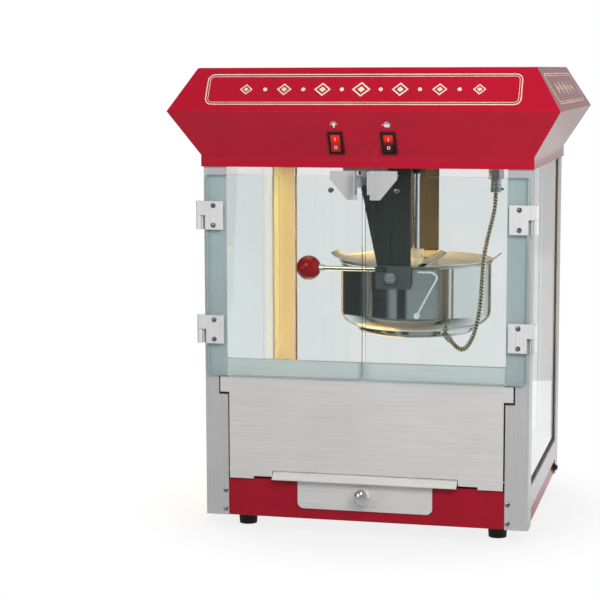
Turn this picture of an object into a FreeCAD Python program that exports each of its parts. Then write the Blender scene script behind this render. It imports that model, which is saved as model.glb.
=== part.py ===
import FreeCAD, Part
import math
import os
import re
import Sketcher
from FreeCAD import Placement, Rotation, Vector

# Tabletop popcorn machine, in millimetres.
# +Z is up, X runs to the right and -Y to the front.
# The origin is on the floor, under the middle of the cabinet.

# Driving dimensions: name, value, what it measures
SIZES = [
    ("cab_w", "420", "cabinet width over the corner posts"),
    ("cab_d", "366", "cabinet depth over the corner posts"),
    ("cab_h", "454", "base underside to the canopy's lower edge"),
    ("seat_gap", "0.3", "gap between seated pieces"),
    ("turn_gap", "0.05", "radial clearance of a running fit"),
    ("overcut", "1", "how far a cutting tool runs past what it cuts"),
    # feet and base
    ("foot_h", "20", "foot height"),
    ("foot_r", "13", "foot radius at the top"),
    ("foot_draft", "1.5", "how much narrower the foot is at the floor"),
    ("foot_recess_r", "6", "recess for the foot screw"),
    ("foot_recess_h", "7", "depth of that recess"),
    ("foot_in_x", "44", "foot centre in from the cabinet's side"),
    ("foot_in_y", "45", "foot centre in from the cabinet's front"),
    ("base_h", "50", "height of the base pan"),
    ("base_wall", "1.5", "base sheet"),
    ("bar_reach", "13", "reach of the support bars round the top of the base pan"),
    ("bar_t", "3", "support bar thickness"),
    ("weld_gap", "0.05", "gap between welded pieces"),
    # posts, rails, glass
    ("post_leg", "30", "leg of the corner angle"),
    ("post_wall", "2", "thickness of the corner angle"),
    ("rail_h", "28", "trim rail under the glass"),
    ("glass_t", "4", "wall glass"),
    ("seal_t", "1.5", "edge seal thickness"),
    ("seal_show", "4", "seal showing beside posts and rails"),
    ("cross_h", "20", "cross rail behind the doors' lower edge"),
    ("cross_t", "1.5", "cross rail sheet"),
    ("cross_fold", "12", "fold along the top of the cross rail"),
    # deck and front panel
    ("deck_rise", "11", "deck above the base"),
    ("deck_t", "1.2", "deck sheet"),
    ("sieve_w", "4", "sieve slot width"),
    ("sieve_len", "34", "sieve slot length"),
    ("sieve_step_x", "12", "slot pitch across"),
    ("sieve_step_y", "46", "slot pitch front to back"),
    ("sieve_end", "60", "deck without slots, front and back together"),
    ("sieve_side", "20", "tray width without slots above it"),
    ("ledge_w", "240", "width of the sloping ledge"),
    ("ledge_out", "9", "ledge in front of the posts"),
    ("panel_w", "356", "front panel width between the ears"),
    ("panel_h", "135", "front panel height"),
    ("panel_t", "1.2", "front panel sheet"),
    ("panel_fold", "18", "fold along the panel's top edge"),
    ("ear_w", "12", "ear in each post's notch"),
    ("ear_h", "20", "ear height"),
    ("ear_drop", "2", "ear below the panel's top"),
    ("notch_side", "2", "post notch beside the ear"),
    ("notch_drop", "3.5", "post notch below the ear"),
    ("notch_w", "242", "notch in the panel's foot"),
    ("notch_h", "12", "notch height"),
    ("step_w", "25", "shallow step beside the notch"),
    ("step_h", "3.5", "height of that step"),
    # drawer
    ("drawer_w", "168", "tray width"),
    ("drawer_d", "290", "tray depth"),
    ("drawer_h", "28", "tray height"),
    ("drawer_wall", "1.2", "tray sheet"),
    ("drawer_lift", "16.5", "tray above the base floor"),
    ("drawer_side", "3", "room beside the tray in the base's front"),
    ("face_w", "176", "drawer front width"),
    ("face_h", "36", "drawer front height"),
    ("face_t", "1.5", "drawer front sheet"),
    ("face_round", "8", "lower corners of the drawer front"),
    ("knob_r", "12", "drawer knob radius"),
    ("knob_out", "22", "drawer knob length"),
    ("knob_rise", "4", "knob above the middle of the drawer front"),
    ("runner_leg", "10", "runner leg under the tray"),
    ("runner_wall", "1.5", "runner sheet"),
    ("runner_guide", "10", "runner height beside the tray"),
    # canopy
    ("skirt_h", "15", "upright band round the canopy's foot"),
    ("flare_h", "56", "height of the outward slope"),
    ("flare_out", "34.5", "reach of the outward slope"),
    ("roof_h", "54", "height of the inward slope"),
    ("roof_in", "32.6", "reach of the inward slope"),
    ("skirt_gap", "1", "skirt outside the posts"),
    ("sheet_t", "1.5", "canopy sheet"),
    ("roof_round", "3", "bend along the roof's edges"),
    ("ceil_rise", "2", "ceiling plate above the skirt's edge"),
    ("ceil_t", "1.2", "ceiling plate"),
    # switches
    ("switch_x", "33.5", "switch centre from the middle"),
    ("switch_up", "20", "switch centre above the skirt, along the slope"),
    ("bezel_w", "19", "switch bezel width"),
    ("bezel_h", "32", "switch bezel height"),
    ("bezel_t", "2", "switch bezel thickness"),
    ("shell_w", "15.6", "switch housing width"),
    ("shell_h", "28.6", "switch housing height"),
    ("shell_d", "18", "switch housing depth"),
    ("window_w", "12.4", "rocker window width"),
    ("window_h", "25.4", "rocker window height"),
    ("window_d", "14", "rocker well depth"),
    ("rocker_w", "11.6", "rocker width"),
    ("rocker_h", "22.4", "rocker height"),
    ("rocker_rise", "7.2", "rocker ends above its pivot"),
    ("rocker_dip", "1.6", "valley in the rocker's face"),
    ("rocker_foot", "4", "rocker below its pivot"),
    ("rocker_tilt", "9", "rocker angle either way"),
    ("rocker_deep", "3", "rocker pivot below the canopy sheet's face"),
    ("rocker_pin_r", "1.5", "rocker pivot pin"),
    ("rocker_pin_in", "1.1", "rocker pin in the housing wall"),
    # doors
    ("door_t", "5", "door glass"),
    ("door_gap", "1", "gap between the door's back and the posts"),
    ("door_side", "4.5", "door edge in from the cabinet's side"),
    ("door_meet", "4", "gap between the doors"),
    ("door_lift", "1", "door above the front panel"),
    ("door_drop", "10", "door below the canopy"),
    ("door_round", "3", "door corners"),
    ("hinge_h", "36.5", "hinge height"),
    ("hinge_out", "5.7", "hinge axis outside the post"),
    ("hinge_top", "52", "upper hinge centre below the door's top"),
    ("hinge_low", "59", "lower hinge centre above the door's foot"),
    ("leaf_w", "27", "door leaf over the post"),
    ("leaf_t", "1.5", "hinge leaf"),
    ("leaf_notch", "3.5", "notch in the leaf beside the lower knuckle"),
    ("leaf_back", "30", "post leaf length"),
    ("leaf_clear", "2", "post leaf behind the upper knuckle"),
    ("barrel_r", "3.35", "hinge barrel"),
    ("pin_r", "1.6", "hinge pin"),
    ("leaf_screw_x", "14.5", "leaf screws in from the cabinet's side"),
    ("leaf_screw_gap", "25", "leaf screw pitch"),
    ("screw_r", "2", "screw shank"),
    ("head_r", "3.2", "screw head"),
    ("head_top_r", "2", "top of the screw head"),
    ("head_h", "1.8", "screw head height"),
    ("post_screw_in", "4", "post screws in from the post's edge"),
    ("post_screw_low", "8", "lower post screw above the base's underside"),
    ("post_screw_gap", "24.5", "post screw pitch"),
    # strikes and catch
    ("strike_in", "8", "strike plate from the middle"),
    ("strike_w", "35", "strike plate width"),
    ("strike_h", "36.5", "strike plate height"),
    ("strike_over", "6.5", "strike plate above the door's top"),
    ("strike_t", "1.2", "strike sheet"),
    ("strike_foot", "13", "width of the strike's lower edge"),
    ("strike_side", "10", "height of the strike's outer edge"),
    ("pull_out", "18", "finger flange reach"),
    ("pull_h", "29", "finger flange height"),
    ("keeper_h", "14.5", "strike leg behind the glass"),
    ("keeper_in", "1", "strike leg in from the door's edge"),
    ("glass_nut_r", "2.8", "nut behind the glass on the screw beside each strike"),
    ("glass_nut_t", "2.2", "nut behind the glass, thickness"),
    ("strike_screw_x", "42", "strike screw from the middle"),
    ("strike_screw_down", "18", "strike screw below the door's top"),
    ("catch_w", "58", "catch plate width"),
    ("catch_show", "4.5", "catch plate below the skirt"),
    ("catch_t", "1.2", "catch plate"),
    ("catch_arm_w", "12", "catch arm width"),
    ("magnet_r", "5.5", "magnet radius"),
    ("magnet_down", "6", "magnet centre below the door's top"),
    # kettle and yoke
    ("kettle_x", "34", "kettle axis right of the middle"),
    ("kettle_r", "101.5", "pot radius"),
    ("pot_h", "88", "pot height"),
    ("pot_wall", "1.2", "pot sheet"),
    ("pot_round", "20", "pot's lower edge"),
    ("bead", "2", "rolled rim"),
    ("pivot_x", "21", "tilt axis right of the middle"),
    ("hang_drop", "147.5", "tilt axis below the ceiling"),
    ("rim_rise", "13.5", "pot rim above the tilt axis"),
    ("cover_r", "78", "heater cover radius"),
    ("cover_h", "9", "heater cover depth"),
    ("cover_round", "4", "heater cover edge"),
    ("heater_r", "60", "heater radius"),
    ("heater_t", "5", "heater thickness"),
    ("arm_gap", "8", "pot wall to yoke arm"),
    ("arm_t", "2.5", "yoke plate"),
    ("arm_top_w", "72", "arm width at the ceiling"),
    ("arm_right", "25.5", "arm's right edge from the tilt axis"),
    ("arm_foot_w", "38", "arm width at its lower end"),
    ("arm_under", "14.5", "arm below the tilt axis"),
    ("trunnion_r", "5", "trunnion pin"),
    ("collar_r", "9", "trunnion collar"),
    ("nut_r", "8", "trunnion nut across corners, half"),
    ("nut_t", "5", "trunnion nut"),
    ("pin_end", "2", "trunnion pin beyond its nut"),
    ("washer_t", "1", "gap between arm and hub plate"),
    ("hub_left", "20", "hub plate left of the tilt axis"),
    ("hub_right", "27", "hub plate right of the tilt axis"),
    ("hub_up", "15.5", "hub plate above the tilt axis"),
    ("hub_down", "14.5", "hub plate below the tilt axis"),
    ("hub_t", "3", "hub plate"),
    ("hub_round", "5", "hub plate corners"),
    ("grip_r", "3.25", "handle rod"),
    ("grip_rise", "11.5", "handle rod above the tilt axis"),
    ("grip_len", "108", "ball centre left of the tilt axis"),
    ("grip_tang_w", "15", "flattened rod end on the hub plate"),
    ("grip_tang_t", "2.5", "thickness of that end"),
    ("ball_r", "16", "handle ball"),
    ("ball_depth", "18", "rod inside the ball"),
    # lids and stirrer
    ("bridge_w", "40", "lid bridge width"),
    ("bridge_t", "2", "lid bridge"),
    ("bush_r", "11", "stirrer bush"),
    ("bush_h", "14", "stirrer bush height"),
    ("lid_axis_x", "25", "lid hinge from the kettle axis"),
    ("lid_axis_z", "4", "lid hinge above the rim"),
    ("lid_rod_r", "1.5", "lid hinge rod"),
    ("lid_knuckle_r", "3", "lid knuckle"),
    ("lid_knuckle_len", "116", "lid knuckle length"),
    ("ear_t", "3", "ear that holds the lid rod"),
    ("ear_edge", "1", "ear round the lid rod"),
    ("lid_t", "1.2", "lid sheet"),
    ("lid_over", "1", "lid beyond the rim"),
    ("lid_in", "1", "lid sheet's inner edge beyond its knuckle"),
    ("tab_out", "12", "lid tab beyond the pot"),
    ("tab_up", "8", "lid tab height"),
    ("tab_wide", "44", "lid tab width"),
    ("tab_root", "6", "lid tab's root inside the pot's edge"),
    ("tab_bend", "2", "lid tab's bend inside the pot's edge"),
    ("shaft_r", "4.5", "stirrer shaft"),
    ("tongue_t", "4", "drive tongue thickness"),
    ("tongue_h", "12", "drive tongue height"),
    ("tongue_in", "0.5", "tongue inside the shaft's side"),
    ("tongue_gap", "0.2", "tongue clearance in its slot"),
    ("drive_gap", "2.3", "shaft shoulder below the coupling"),
    ("coupling_r", "11", "drive coupling"),
    ("coupling_drop", "16.7", "coupling below the ceiling"),
    ("coupling_room", "3", "room round the coupling in ceiling and yoke"),
    ("drive_r", "4", "drive shaft"),
    ("drive_in", "25", "drive shaft inside the gearbox"),
    ("blade_len", "76", "stirrer blade reach"),
    ("short_blade_len", "45.6", "reach of the stirrer's short blade"),
    ("blade_h", "11", "stirrer blade height"),
    ("blade_t", "2.5", "stirrer blade"),
    ("blade_hub_r", "10", "stirrer hub"),
    ("blade_hub_h", "15", "stirrer hub height"),
    ("blade_lift", "1.5", "blades above the pot floor"),
    # motor, lamp, glands, conduit
    ("gearbox_w", "76", "gearbox width"),
    ("gearbox_d", "60", "gearbox depth"),
    ("gearbox_h", "40", "gearbox height"),
    ("motor_r", "27", "motor can"),
    ("motor_h", "56", "motor can height"),
    ("lamp_x", "110", "lamp left of the middle"),
    ("lamp_y", "60", "lamp behind the middle"),
    ("lamp_rise", "34", "lamp above the ceiling"),
    ("lamp_hole_r", "38", "lamp opening in the ceiling"),
    ("lamp_back", "6", "lamp bracket behind the opening's edge"),
    ("socket_r", "15", "lamp socket"),
    ("socket_len", "26", "lamp socket length"),
    ("bulb_r", "26", "bulb"),
    ("bulb_flare_r", "36.4", "radius of the bulb's neck flare"),
    ("bulb_wide", "28.6", "bulb's widest part above its neck"),
    ("bulb_neck_r", "12", "bulb neck"),
    ("bracket_t", "1.5", "lamp bracket"),
    ("bracket_w", "44", "lamp bracket width"),
    ("gland_x", "154", "conduit gland right of the middle"),
    ("gland_y", "95", "conduit gland in front of the middle"),
    ("gland_hex_r", "10", "gland hexagon"),
    ("gland_hex_h", "19", "gland hexagon height"),
    ("gland_r", "6.4", "gland body"),
    ("gland_h", "9", "gland body height"),
    ("gland_nut_r", "7", "gland nut"),
    ("gland_nut_h", "8", "gland nut height"),
    ("stud_r", "1.6", "clamp screw on the gland nut"),
    ("stud_len", "4", "length of that screw"),
    ("stud_in", "1", "that screw inside the nut"),
    ("conduit_r", "3.25", "conduit radius on its ribs"),
    ("conduit_rib", "0.55", "rib height"),
    ("conduit_bore_r", "2", "conduit bore"),
    ("low_gland_r", "4.2", "gland on the heater cover"),
    ("low_gland_len", "14", "length of that gland"),
    ("low_gland_z", "5.5", "that gland below the pot"),
    ("low_gland_turn", "50", "its place round the cover, towards the front"),
    ("low_gland_dip", "25", "its downward slope"),
    ("conduit_lead", "11", "conduit's straight run out of that gland"),
    ("wire_r", "1.4", "latch wire"),
    ("wire_off", "0.6", "latch wire off the pot"),
    ("wire_boss_r", "4", "latch wire's foot"),
    ("wire_boss_in", "2", "latch wire's foot behind the pot's face"),
    ("inlet_z", "11", "cord gland above the base's underside"),
    ("inlet_r", "6", "cord gland flange"),
    ("inlet_out", "7", "cord gland length"),
]

# Values worked out from the driving dimensions
WORKED_OUT = [
    ("half_w", "cab_w / 2"),
    ("half_d", "cab_d / 2"),
    ("in_w", "half_w - post_wall"),
    ("in_d", "half_d - post_wall"),
    ("base_x", "in_w - seat_gap"),
    ("base_y", "in_d - seat_gap"),
    ("base_top", "foot_h + base_h"),
    ("bar_x", "base_x - bar_reach"),
    ("bar_y", "base_y - bar_reach"),
    ("bar_side", "base_x - base_wall - weld_gap"),
    ("bar_back", "base_y - base_wall - weld_gap"),
    ("doorway_x", "drawer_w / 2 + drawer_side"),
    ("base_floor", "foot_h + base_wall"),
    ("skirt_z", "foot_h + cab_h"),
    ("ceil_z", "skirt_z + ceil_rise"),
    ("ceil_top", "ceil_z + ceil_t"),
    ("glass_x", "in_w - seal_t"),
    ("glass_in", "glass_x - glass_t"),
    ("glass_y", "in_d - seal_t"),
    ("pane_x", "glass_in - seat_gap"),
    ("pane_low", "base_top + seat_gap"),
    ("pane_high", "ceil_z - seat_gap"),
    ("deck_top", "base_top + deck_rise"),
    ("deck_back", "glass_y - glass_t - seat_gap"),
    ("panel_top", "base_top + panel_h"),
    ("ear_low", "panel_top - ear_drop - ear_h"),
    ("panel_back", "-half_d - seat_gap"),
    ("panel_front", "panel_back - panel_t"),
    ("drawer_low", "base_floor + drawer_lift"),
    ("face_back", "-base_y - seat_gap"),
    ("face_top", "base_top - seat_gap"),
    ("face_low", "face_top - face_h"),
    ("skirt_x", "half_w + skirt_gap + sheet_t"),
    ("skirt_y", "half_d + skirt_gap + sheet_t"),
    ("skirt_top", "skirt_z + skirt_h"),
    ("ridge_z", "skirt_top + flare_h"),
    ("ridge_x", "skirt_x + flare_out"),
    ("ridge_y", "skirt_y + flare_out"),
    ("roof_z", "ridge_z + roof_h"),
    ("roof_x", "ridge_x - roof_in"),
    ("roof_y", "ridge_y - roof_in"),
    ("slope_run", "sqrt(flare_h ^ 2 + flare_out ^ 2)"),
    ("slope_wall", "sheet_t * slope_run / flare_h"),
    ("switch_y", "-skirt_y - switch_up * flare_out / slope_run"),
    ("switch_z", "skirt_top + switch_up * flare_h / slope_run"),
    ("rocker_y", "switch_y + rocker_deep * flare_h / slope_run"),
    ("rocker_z", "switch_z + rocker_deep * flare_out / slope_run"),
    ("door_low", "panel_top + door_lift"),
    ("door_high", "skirt_z - door_drop"),
    ("door_back", "-half_d - door_gap"),
    ("door_front", "door_back - door_t"),
    ("door_x", "half_w - door_side"),
    ("hinge_x", "half_w + hinge_out"),
    ("hinge_y", "door_front - leaf_t + barrel_r"),
    ("strike_top", "door_high + strike_over"),
    ("strike_low", "strike_top - strike_h"),
    ("strike_x", "strike_in + strike_w"),
    ("pivot_z", "ceil_z - hang_drop"),
    ("rim_z", "pivot_z + rim_rise"),
    ("pot_floor", "rim_z - pot_h"),
    ("arm_in", "kettle_r + arm_gap"),
    ("arm_out", "arm_in + arm_t"),
    ("hub_back", "-arm_out - washer_t"),
    ("hub_front", "hub_back - hub_t"),
    ("grip_y", "hub_front - grip_r"),
    ("grip_z", "pivot_z + grip_rise"),
    ("lid_z", "rim_z + seat_gap"),
    ("coupling_low", "ceil_z - coupling_drop"),
    ("shaft_top", "coupling_low - drive_gap"),
    ("shaft_low", "pot_floor + pot_wall + seat_gap"),
    ("gland_low", "ceil_z - gland_hex_h - gland_h - gland_nut_h"),
    ("post_screw_x", "half_w - post_leg + post_screw_in"),
    ("foot_x", "half_w - foot_in_x"),
    ("foot_y", "half_d - foot_in_y"),
]

doc = FreeCAD.newDocument("popcorn_machine")
sheet = doc.addObject("Spreadsheet::Sheet", "dims")
for row, (alias, value, meaning) in enumerate(SIZES, start=1):
    sheet.set(f"A{row}", meaning)
    sheet.set(f"B{row}", value)
    sheet.setAlias(f"B{row}", alias)
for row, (alias, formula) in enumerate(WORKED_OUT, start=len(SIZES) + 2):
    sheet.set(f"A{row}", formula)
    sheet.set(f"B{row}", "=" + formula)
    sheet.setAlias(f"B{row}", alias)
doc.recompute()

ALIASES = {entry[0] for entry in SIZES + WORKED_OUT}
NORMALS = {"XY_Plane": 1, "XZ_Plane": -1, "YZ_Plane": 1}
TURNS = {
    "z": Rotation(),
    "x": Rotation(Vector(0, 1, 0), 90),
    "y": Rotation(Vector(1, 0, 0), -90),
    "-y": Rotation(Vector(1, 0, 0), 90),
    "-z": Rotation(Vector(1, 0, 0), 180),
}
HALF_CIRCLE = "half circle"
SUBPARTS = []

POST_SCREW_HEIGHTS = ("foot_h + post_screw_low", "foot_h + post_screw_low + post_screw_gap")
HINGE_HEIGHTS = ("door_high - hinge_top", "door_low + hinge_low")
FEET = [(x, y) for x in ("foot_x", "-foot_x") for y in ("foot_y", "-foot_y")]
# Yoke bolts: shares of the yoke's width, and of the way out to its arms
BOLT_SHARES = (0.15, 0.85)
BOLT_REACH = 0.8
YOKE_BOLTS = [(f"pivot_x + arm_right - {share} * arm_top_w", f"{side} * arm_in * {BOLT_REACH}")
              for share in BOLT_SHARES for side in (-1, 1)]
# Share of a straight run that the bend at its end may take
BEND_SHARE = 0.45
# Conduit route: down from the ceiling gland, and out from the lower gland
CONDUIT_HANG = [(0, 0, -15), (-4.4, -1, -38), (-11.5, -2, -66), (-15.7, -2.5, -95), (-16.7, -2.5, -125),
                (-19, -1.5, -153), (-24, 0.5, -177), (-31, 3.5, -195.5)]
CONDUIT_LIFT = [(22.2, -18.6, -8.6), (13.7, -14.3, -9.6)]
CONDUIT_RIBS = 72
# A rib's outline: shares of its pitch and of its height
RIB_OUTLINE = [(0.05, 0), (0.3, 1), (0.6, 1), (0.85, 0)]
# Latch wire: right of the tilt axis, and above the pot's floor
WIRE_ROUTE = [(32, 24), (46, 52), (58, 74), (52, 80.5), (33, 81)]


def size(text):
    """The value of an expression in the sheet's names."""
    value = sheet.evalExpression(str(text))
    return float(getattr(value, "Value", value))


def bound(text):
    """The same expression for use outside the sheet."""
    return re.sub(r"[A-Za-z_]\w*", lambda m: "dims." + m[0] if m[0] in ALIASES else m[0], str(text))


def keep(obj, label):
    """Name a finished sub-part."""
    obj.Label = label
    SUBPARTS.append(obj)
    return obj


def place(obj, at, turn=None):
    """Put an object at expressions for x, y and z."""
    obj.Placement = Placement(Vector(), turn or Rotation())
    for axis, text in zip("xyz", at):
        obj.setExpression("Placement.Base." + axis, bound(text))
    return obj


def box(low, high):
    """A block between two corners."""
    obj = doc.addObject("Part::Box", "block")
    for name, start, end in zip(("Length", "Width", "Height"), low, high):
        obj.setExpression(name, bound(f"({end}) - ({start})"))
    return place(obj, low)


def cylinder(radius, at, length, along="z"):
    """A round bar from a point along an axis."""
    obj = doc.addObject("Part::Cylinder", "bar")
    obj.setExpression("Radius", bound(radius))
    obj.setExpression("Height", bound(length))
    return place(obj, at, TURNS[along])


def fuse(*shapes):
    obj = doc.addObject("Part::MultiFuse", "joined")
    obj.Shapes = list(shapes)
    return obj


def group(*shapes):
    """Separate solids in one sub-part."""
    obj = doc.addObject("Part::Compound", "set")
    obj.Links = list(shapes)
    return obj


def cut(base, *tools):
    obj = doc.addObject("Part::Cut", "trimmed")
    obj.Base = base
    obj.Tool = tools[0] if len(tools) == 1 else fuse(*tools)
    return obj


def mirror(source, normal):
    obj = doc.addObject("Part::Mirroring", "mirrored")
    obj.Source = source
    obj.Normal = normal
    return obj


def across(source):
    """The same piece on the cabinet's other side."""
    return mirror(source, Vector(1, 0, 0))


def pin(sketch, constraint, text):
    """Add a constraint whose value follows the sheet."""
    index = sketch.addConstraint(constraint)
    sketch.setExpression(f"Constraints[{index}]", bound(text))


def pin_point(sketch, geometry, spot, x, y):
    pin(sketch, Sketcher.Constraint("DistanceX", -1, 1, geometry, spot, size(x)), x)
    pin(sketch, Sketcher.Constraint("DistanceY", -1, 1, geometry, spot, size(y)), y)


def arc_between(start, end, radius):
    """An arc that turns left from start to end if the radius is positive, and right if it is negative."""
    middle = (start + end) * 0.5
    chord = end - start
    rise = math.sqrt(max(radius ** 2 - (chord.Length / 2) ** 2, 0))
    side = Vector(-chord.y, chord.x, 0).normalize()
    centre = middle + side * math.copysign(rise, radius)
    first, last = (start, end) if radius > 0 else (end, start)
    angles = [math.atan2(p.y - centre.y, p.x - centre.x) for p in (first, last)]
    return Part.ArcOfCircle(Part.Circle(centre, Vector(0, 0, 1), abs(radius)), *angles)


def draw(sketch, loops):
    """Draw closed loops.

    A corner is (x, y), or (x, y, radius) where an arc leaves it; a circle is (x, y, r) alone.
    A half circle, with level ends, has no radius of its own.
    """
    for loop in loops:
        if isinstance(loop, tuple):
            x, y, radius = loop
            circle = Part.Circle(Vector(size(x), size(y), 0), Vector(0, 0, 1), size(radius))
            index = sketch.addGeometry(circle)
            pin_point(sketch, index, 3, x, y)
            pin(sketch, Sketcher.Constraint("Radius", index, size(radius)), radius)
            continue
        corners = [Vector(size(c[0]), size(c[1]), 0) for c in loop]
        sides = []
        for number, corner in enumerate(loop):
            start, end = corners[number], corners[(number + 1) % len(loop)]
            if len(corner) == 2:
                sides.append((sketch.addGeometry(Part.LineSegment(start, end)), 1, 2))
                continue
            radius = (end - start).Length / 2 if corner[2] == HALF_CIRCLE else size(corner[2])
            index = sketch.addGeometry(arc_between(start, end, radius))
            sides.append((index, 1, 2) if radius > 0 else (index, 2, 1))
        for number, (index, first, last) in enumerate(sides):
            after, after_first, _ = sides[(number + 1) % len(sides)]
            sketch.addConstraint(Sketcher.Constraint("Coincident", index, last, after, after_first))
        for corner, (index, first, last) in zip(loop, sides):
            pin_point(sketch, index, first, corner[0], corner[1])
            if len(corner) == 3 and corner[2] == HALF_CIRCLE:
                sketch.addConstraint(Sketcher.Constraint("Horizontal", index, 1, index, 3))
            elif len(corner) == 3:
                sign = "" if size(corner[2]) > 0 else "-"
                radius = abs(size(corner[2]))
                pin(sketch, Sketcher.Constraint("Radius", index, radius), f"{sign}({corner[2]})")


def origin_feature(body, role):
    return next(f for f in body.Origin.OriginFeatures if f.Role == role)


def body_sketch(body, plane, loops, level="0"):
    """A sketch on one of the body's planes, level along that plane's axis."""
    sketch = body.newObject("Sketcher::SketchObject", "outline")
    sketch.AttachmentSupport = [(origin_feature(body, plane), "")]
    sketch.MapMode = "FlatFace"
    sketch.setExpression("AttachmentOffset.Base.z", bound(f"{NORMALS[plane]} * ({level})"))
    draw(sketch, loops)
    return sketch


def pad(plane, loops, low, high):
    """A body padded from low to high along the plane's axis."""
    body = doc.addObject("PartDesign::Body", "plate")
    feature = body.newObject("PartDesign::Pad", "pad")
    feature.Profile = body_sketch(body, plane, loops, high if plane == "XZ_Plane" else low)
    feature.setExpression("Length", bound(f"({high}) - ({low})"))
    return body


def turned(loop, at, turn=None):
    """A body turned about its own Z axis, then placed."""
    body = doc.addObject("PartDesign::Body", "turned")
    feature = body.newObject("PartDesign::Revolution", "turn")
    feature.Profile = body_sketch(body, "XZ_Plane", [loop])
    feature.ReferenceAxis = (origin_feature(body, "Z_Axis"), [""])
    feature.Angle = 360
    return place(body, at, turn)


def cap_radius(reach, rise):
    """The radius of a dome that is as wide as twice its reach and as tall as its rise."""
    return f"(({reach}) ^ 2 + ({rise}) ^ 2) / (2 * ({rise}))"


def rectangle(x0, y0, x1, y1):
    return [(x0, y0), (x1, y0), (x1, y1), (x0, y1)]


def rounded_rectangle(left, low, right, high, r):
    return [(f"{left} + {r}", low), (f"{right} - {r}", low, r), (right, f"{low} + {r}"),
            (right, f"{high} - {r}", r), (f"{right} - {r}", high), (f"{left} + {r}", high, r),
            (left, f"{high} - {r}"), (left, f"{low} + {r}", r)]


def loft(levels):
    """A hipped solid through rectangles (half width, half depth, height)."""
    sections = []
    for half_x, half_y, z in levels:
        section = doc.addObject("Sketcher::SketchObject", "level")
        draw(section, [rectangle(f"-({half_x})", f"-({half_y})", half_x, half_y)])
        sections.append(place(section, ("0", "0", z)))
    obj = doc.addObject("Part::Loft", "hip")
    obj.Sections = sections
    obj.Solid = True
    obj.Ruled = True
    return obj


def rounded(base, test, radius):
    """Round the edges that pass a test on their two end points."""
    doc.recompute()
    obj = doc.addObject("Part::Fillet", "rounded")
    obj.Base = base
    picked = [i for i, edge in enumerate(base.Shape.Edges, start=1)
              if all(test(v.Point) for v in edge.Vertexes)]
    obj.Edges = [(i, size(radius), size(radius)) for i in picked]
    return obj


def screw(at, outward, grip):
    """A screw whose head stands on a face at a point; the shank goes straight into the face."""
    shank = cylinder("screw_r", at, grip, outward[-1])
    head = doc.addObject("Part::Cone", "head")
    head.setExpression("Radius1", bound("head_r"))
    head.setExpression("Radius2", bound("head_top_r"))
    head.setExpression("Height", bound("head_h"))
    return fuse(shank, place(head, at, TURNS[outward]))


def rounded_path(points):
    """Straight runs joined by arcs, each as large as its two runs allow."""
    edges, radii = [], []
    last = points[0]
    for before, corner, after in zip(points, points[1:], points[2:]):
        run_in, run_out = corner - before, after - corner
        half_turn = run_in.getAngle(run_out) / 2
        reach = BEND_SHARE * min(run_in.Length, run_out.Length)
        radii.append(reach / math.tan(half_turn))
        start = corner - Vector(run_in).normalize() * reach
        end = corner + Vector(run_out).normalize() * reach
        bisector = (Vector(run_out).normalize() - Vector(run_in).normalize()).normalize()
        middle = corner + bisector * (radii[-1] / math.cos(half_turn) - radii[-1])
        edges.append(Part.LineSegment(last, start).toShape())
        edges.append(Part.Arc(start, middle, end).toShape())
        last = end
    edges.append(Part.LineSegment(last, points[-1]).toShape())
    print("bend radii:", " ".join(f"{r:.1f}" for r in radii))
    return Part.Wire(edges)


def make_base():
    # The pan is welded from flat plates; the side walls run through, and the others stand between them.
    side_wall = box(("base_x - base_wall", "-base_y", "foot_h"), ("base_x", "base_y", "base_top"))
    inner_x, inner_y = "base_x - base_wall - weld_gap", "base_y - base_wall - weld_gap"
    floor = box((f"-({inner_x})", f"-({inner_y})", "foot_h"), (inner_x, inner_y, "base_floor"))
    front_wall = box((f"-({inner_x})", "-base_y", "foot_h"), (inner_x, "-base_y + base_wall", "base_top"))
    rear_wall = mirror(front_wall, Vector(0, 1, 0))
    doorway = box(("-doorway_x", "-base_y - base_wall", "drawer_low - drawer_side"),
                  ("doorway_x", "-base_y + 2 * base_wall", "base_top + base_wall"))
    post_holes = [cylinder("screw_r + turn_gap", (x, "-half_d", z), "cab_d", "y")
                  for x in ("post_screw_x", "-post_screw_x") for z in POST_SCREW_HEIGHTS]
    foot_holes = [cylinder("screw_r + turn_gap", (x, y, "foot_h - base_wall"), "3 * base_wall")
                  for x, y in FEET]
    plates = [side_wall, across(side_wall), cut(floor, *foot_holes), cut(front_wall, doorway, *post_holes),
              cut(rear_wall, *post_holes)]
    # Flat bars welded round the inside of the walls carry the deck.
    side = box(("bar_x", "-bar_back", "base_top - bar_t"), ("bar_side", "bar_back", "base_top"))
    corner = box(("doorway_x", "-bar_back", "base_top - bar_t"), ("bar_x - weld_gap", "-bar_y", "base_top"))
    rear = box(("-bar_x + weld_gap", "bar_y", "base_top - bar_t"),
               ("bar_x - weld_gap", "bar_back", "base_top"))
    keep(group(*plates, side, across(side), corner, across(corner), rear), "base_pan")

    feet = []
    for x, y in FEET:
        foot = doc.addObject("Part::Cone", "foot")
        foot.setExpression("Radius1", bound("foot_r - foot_draft"))
        foot.setExpression("Radius2", bound("foot_r"))
        foot.setExpression("Height", bound("foot_h"))
        place(foot, (x, y, "0"))
        recess = cylinder("foot_recess_r", (x, y, "0"), "foot_recess_h")
        bore = cylinder("screw_r + turn_gap", (x, y, "0"), "foot_h")
        feet.append(cut(foot, recess, bore))
    keep(group(*feet), "rubber_feet")


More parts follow.
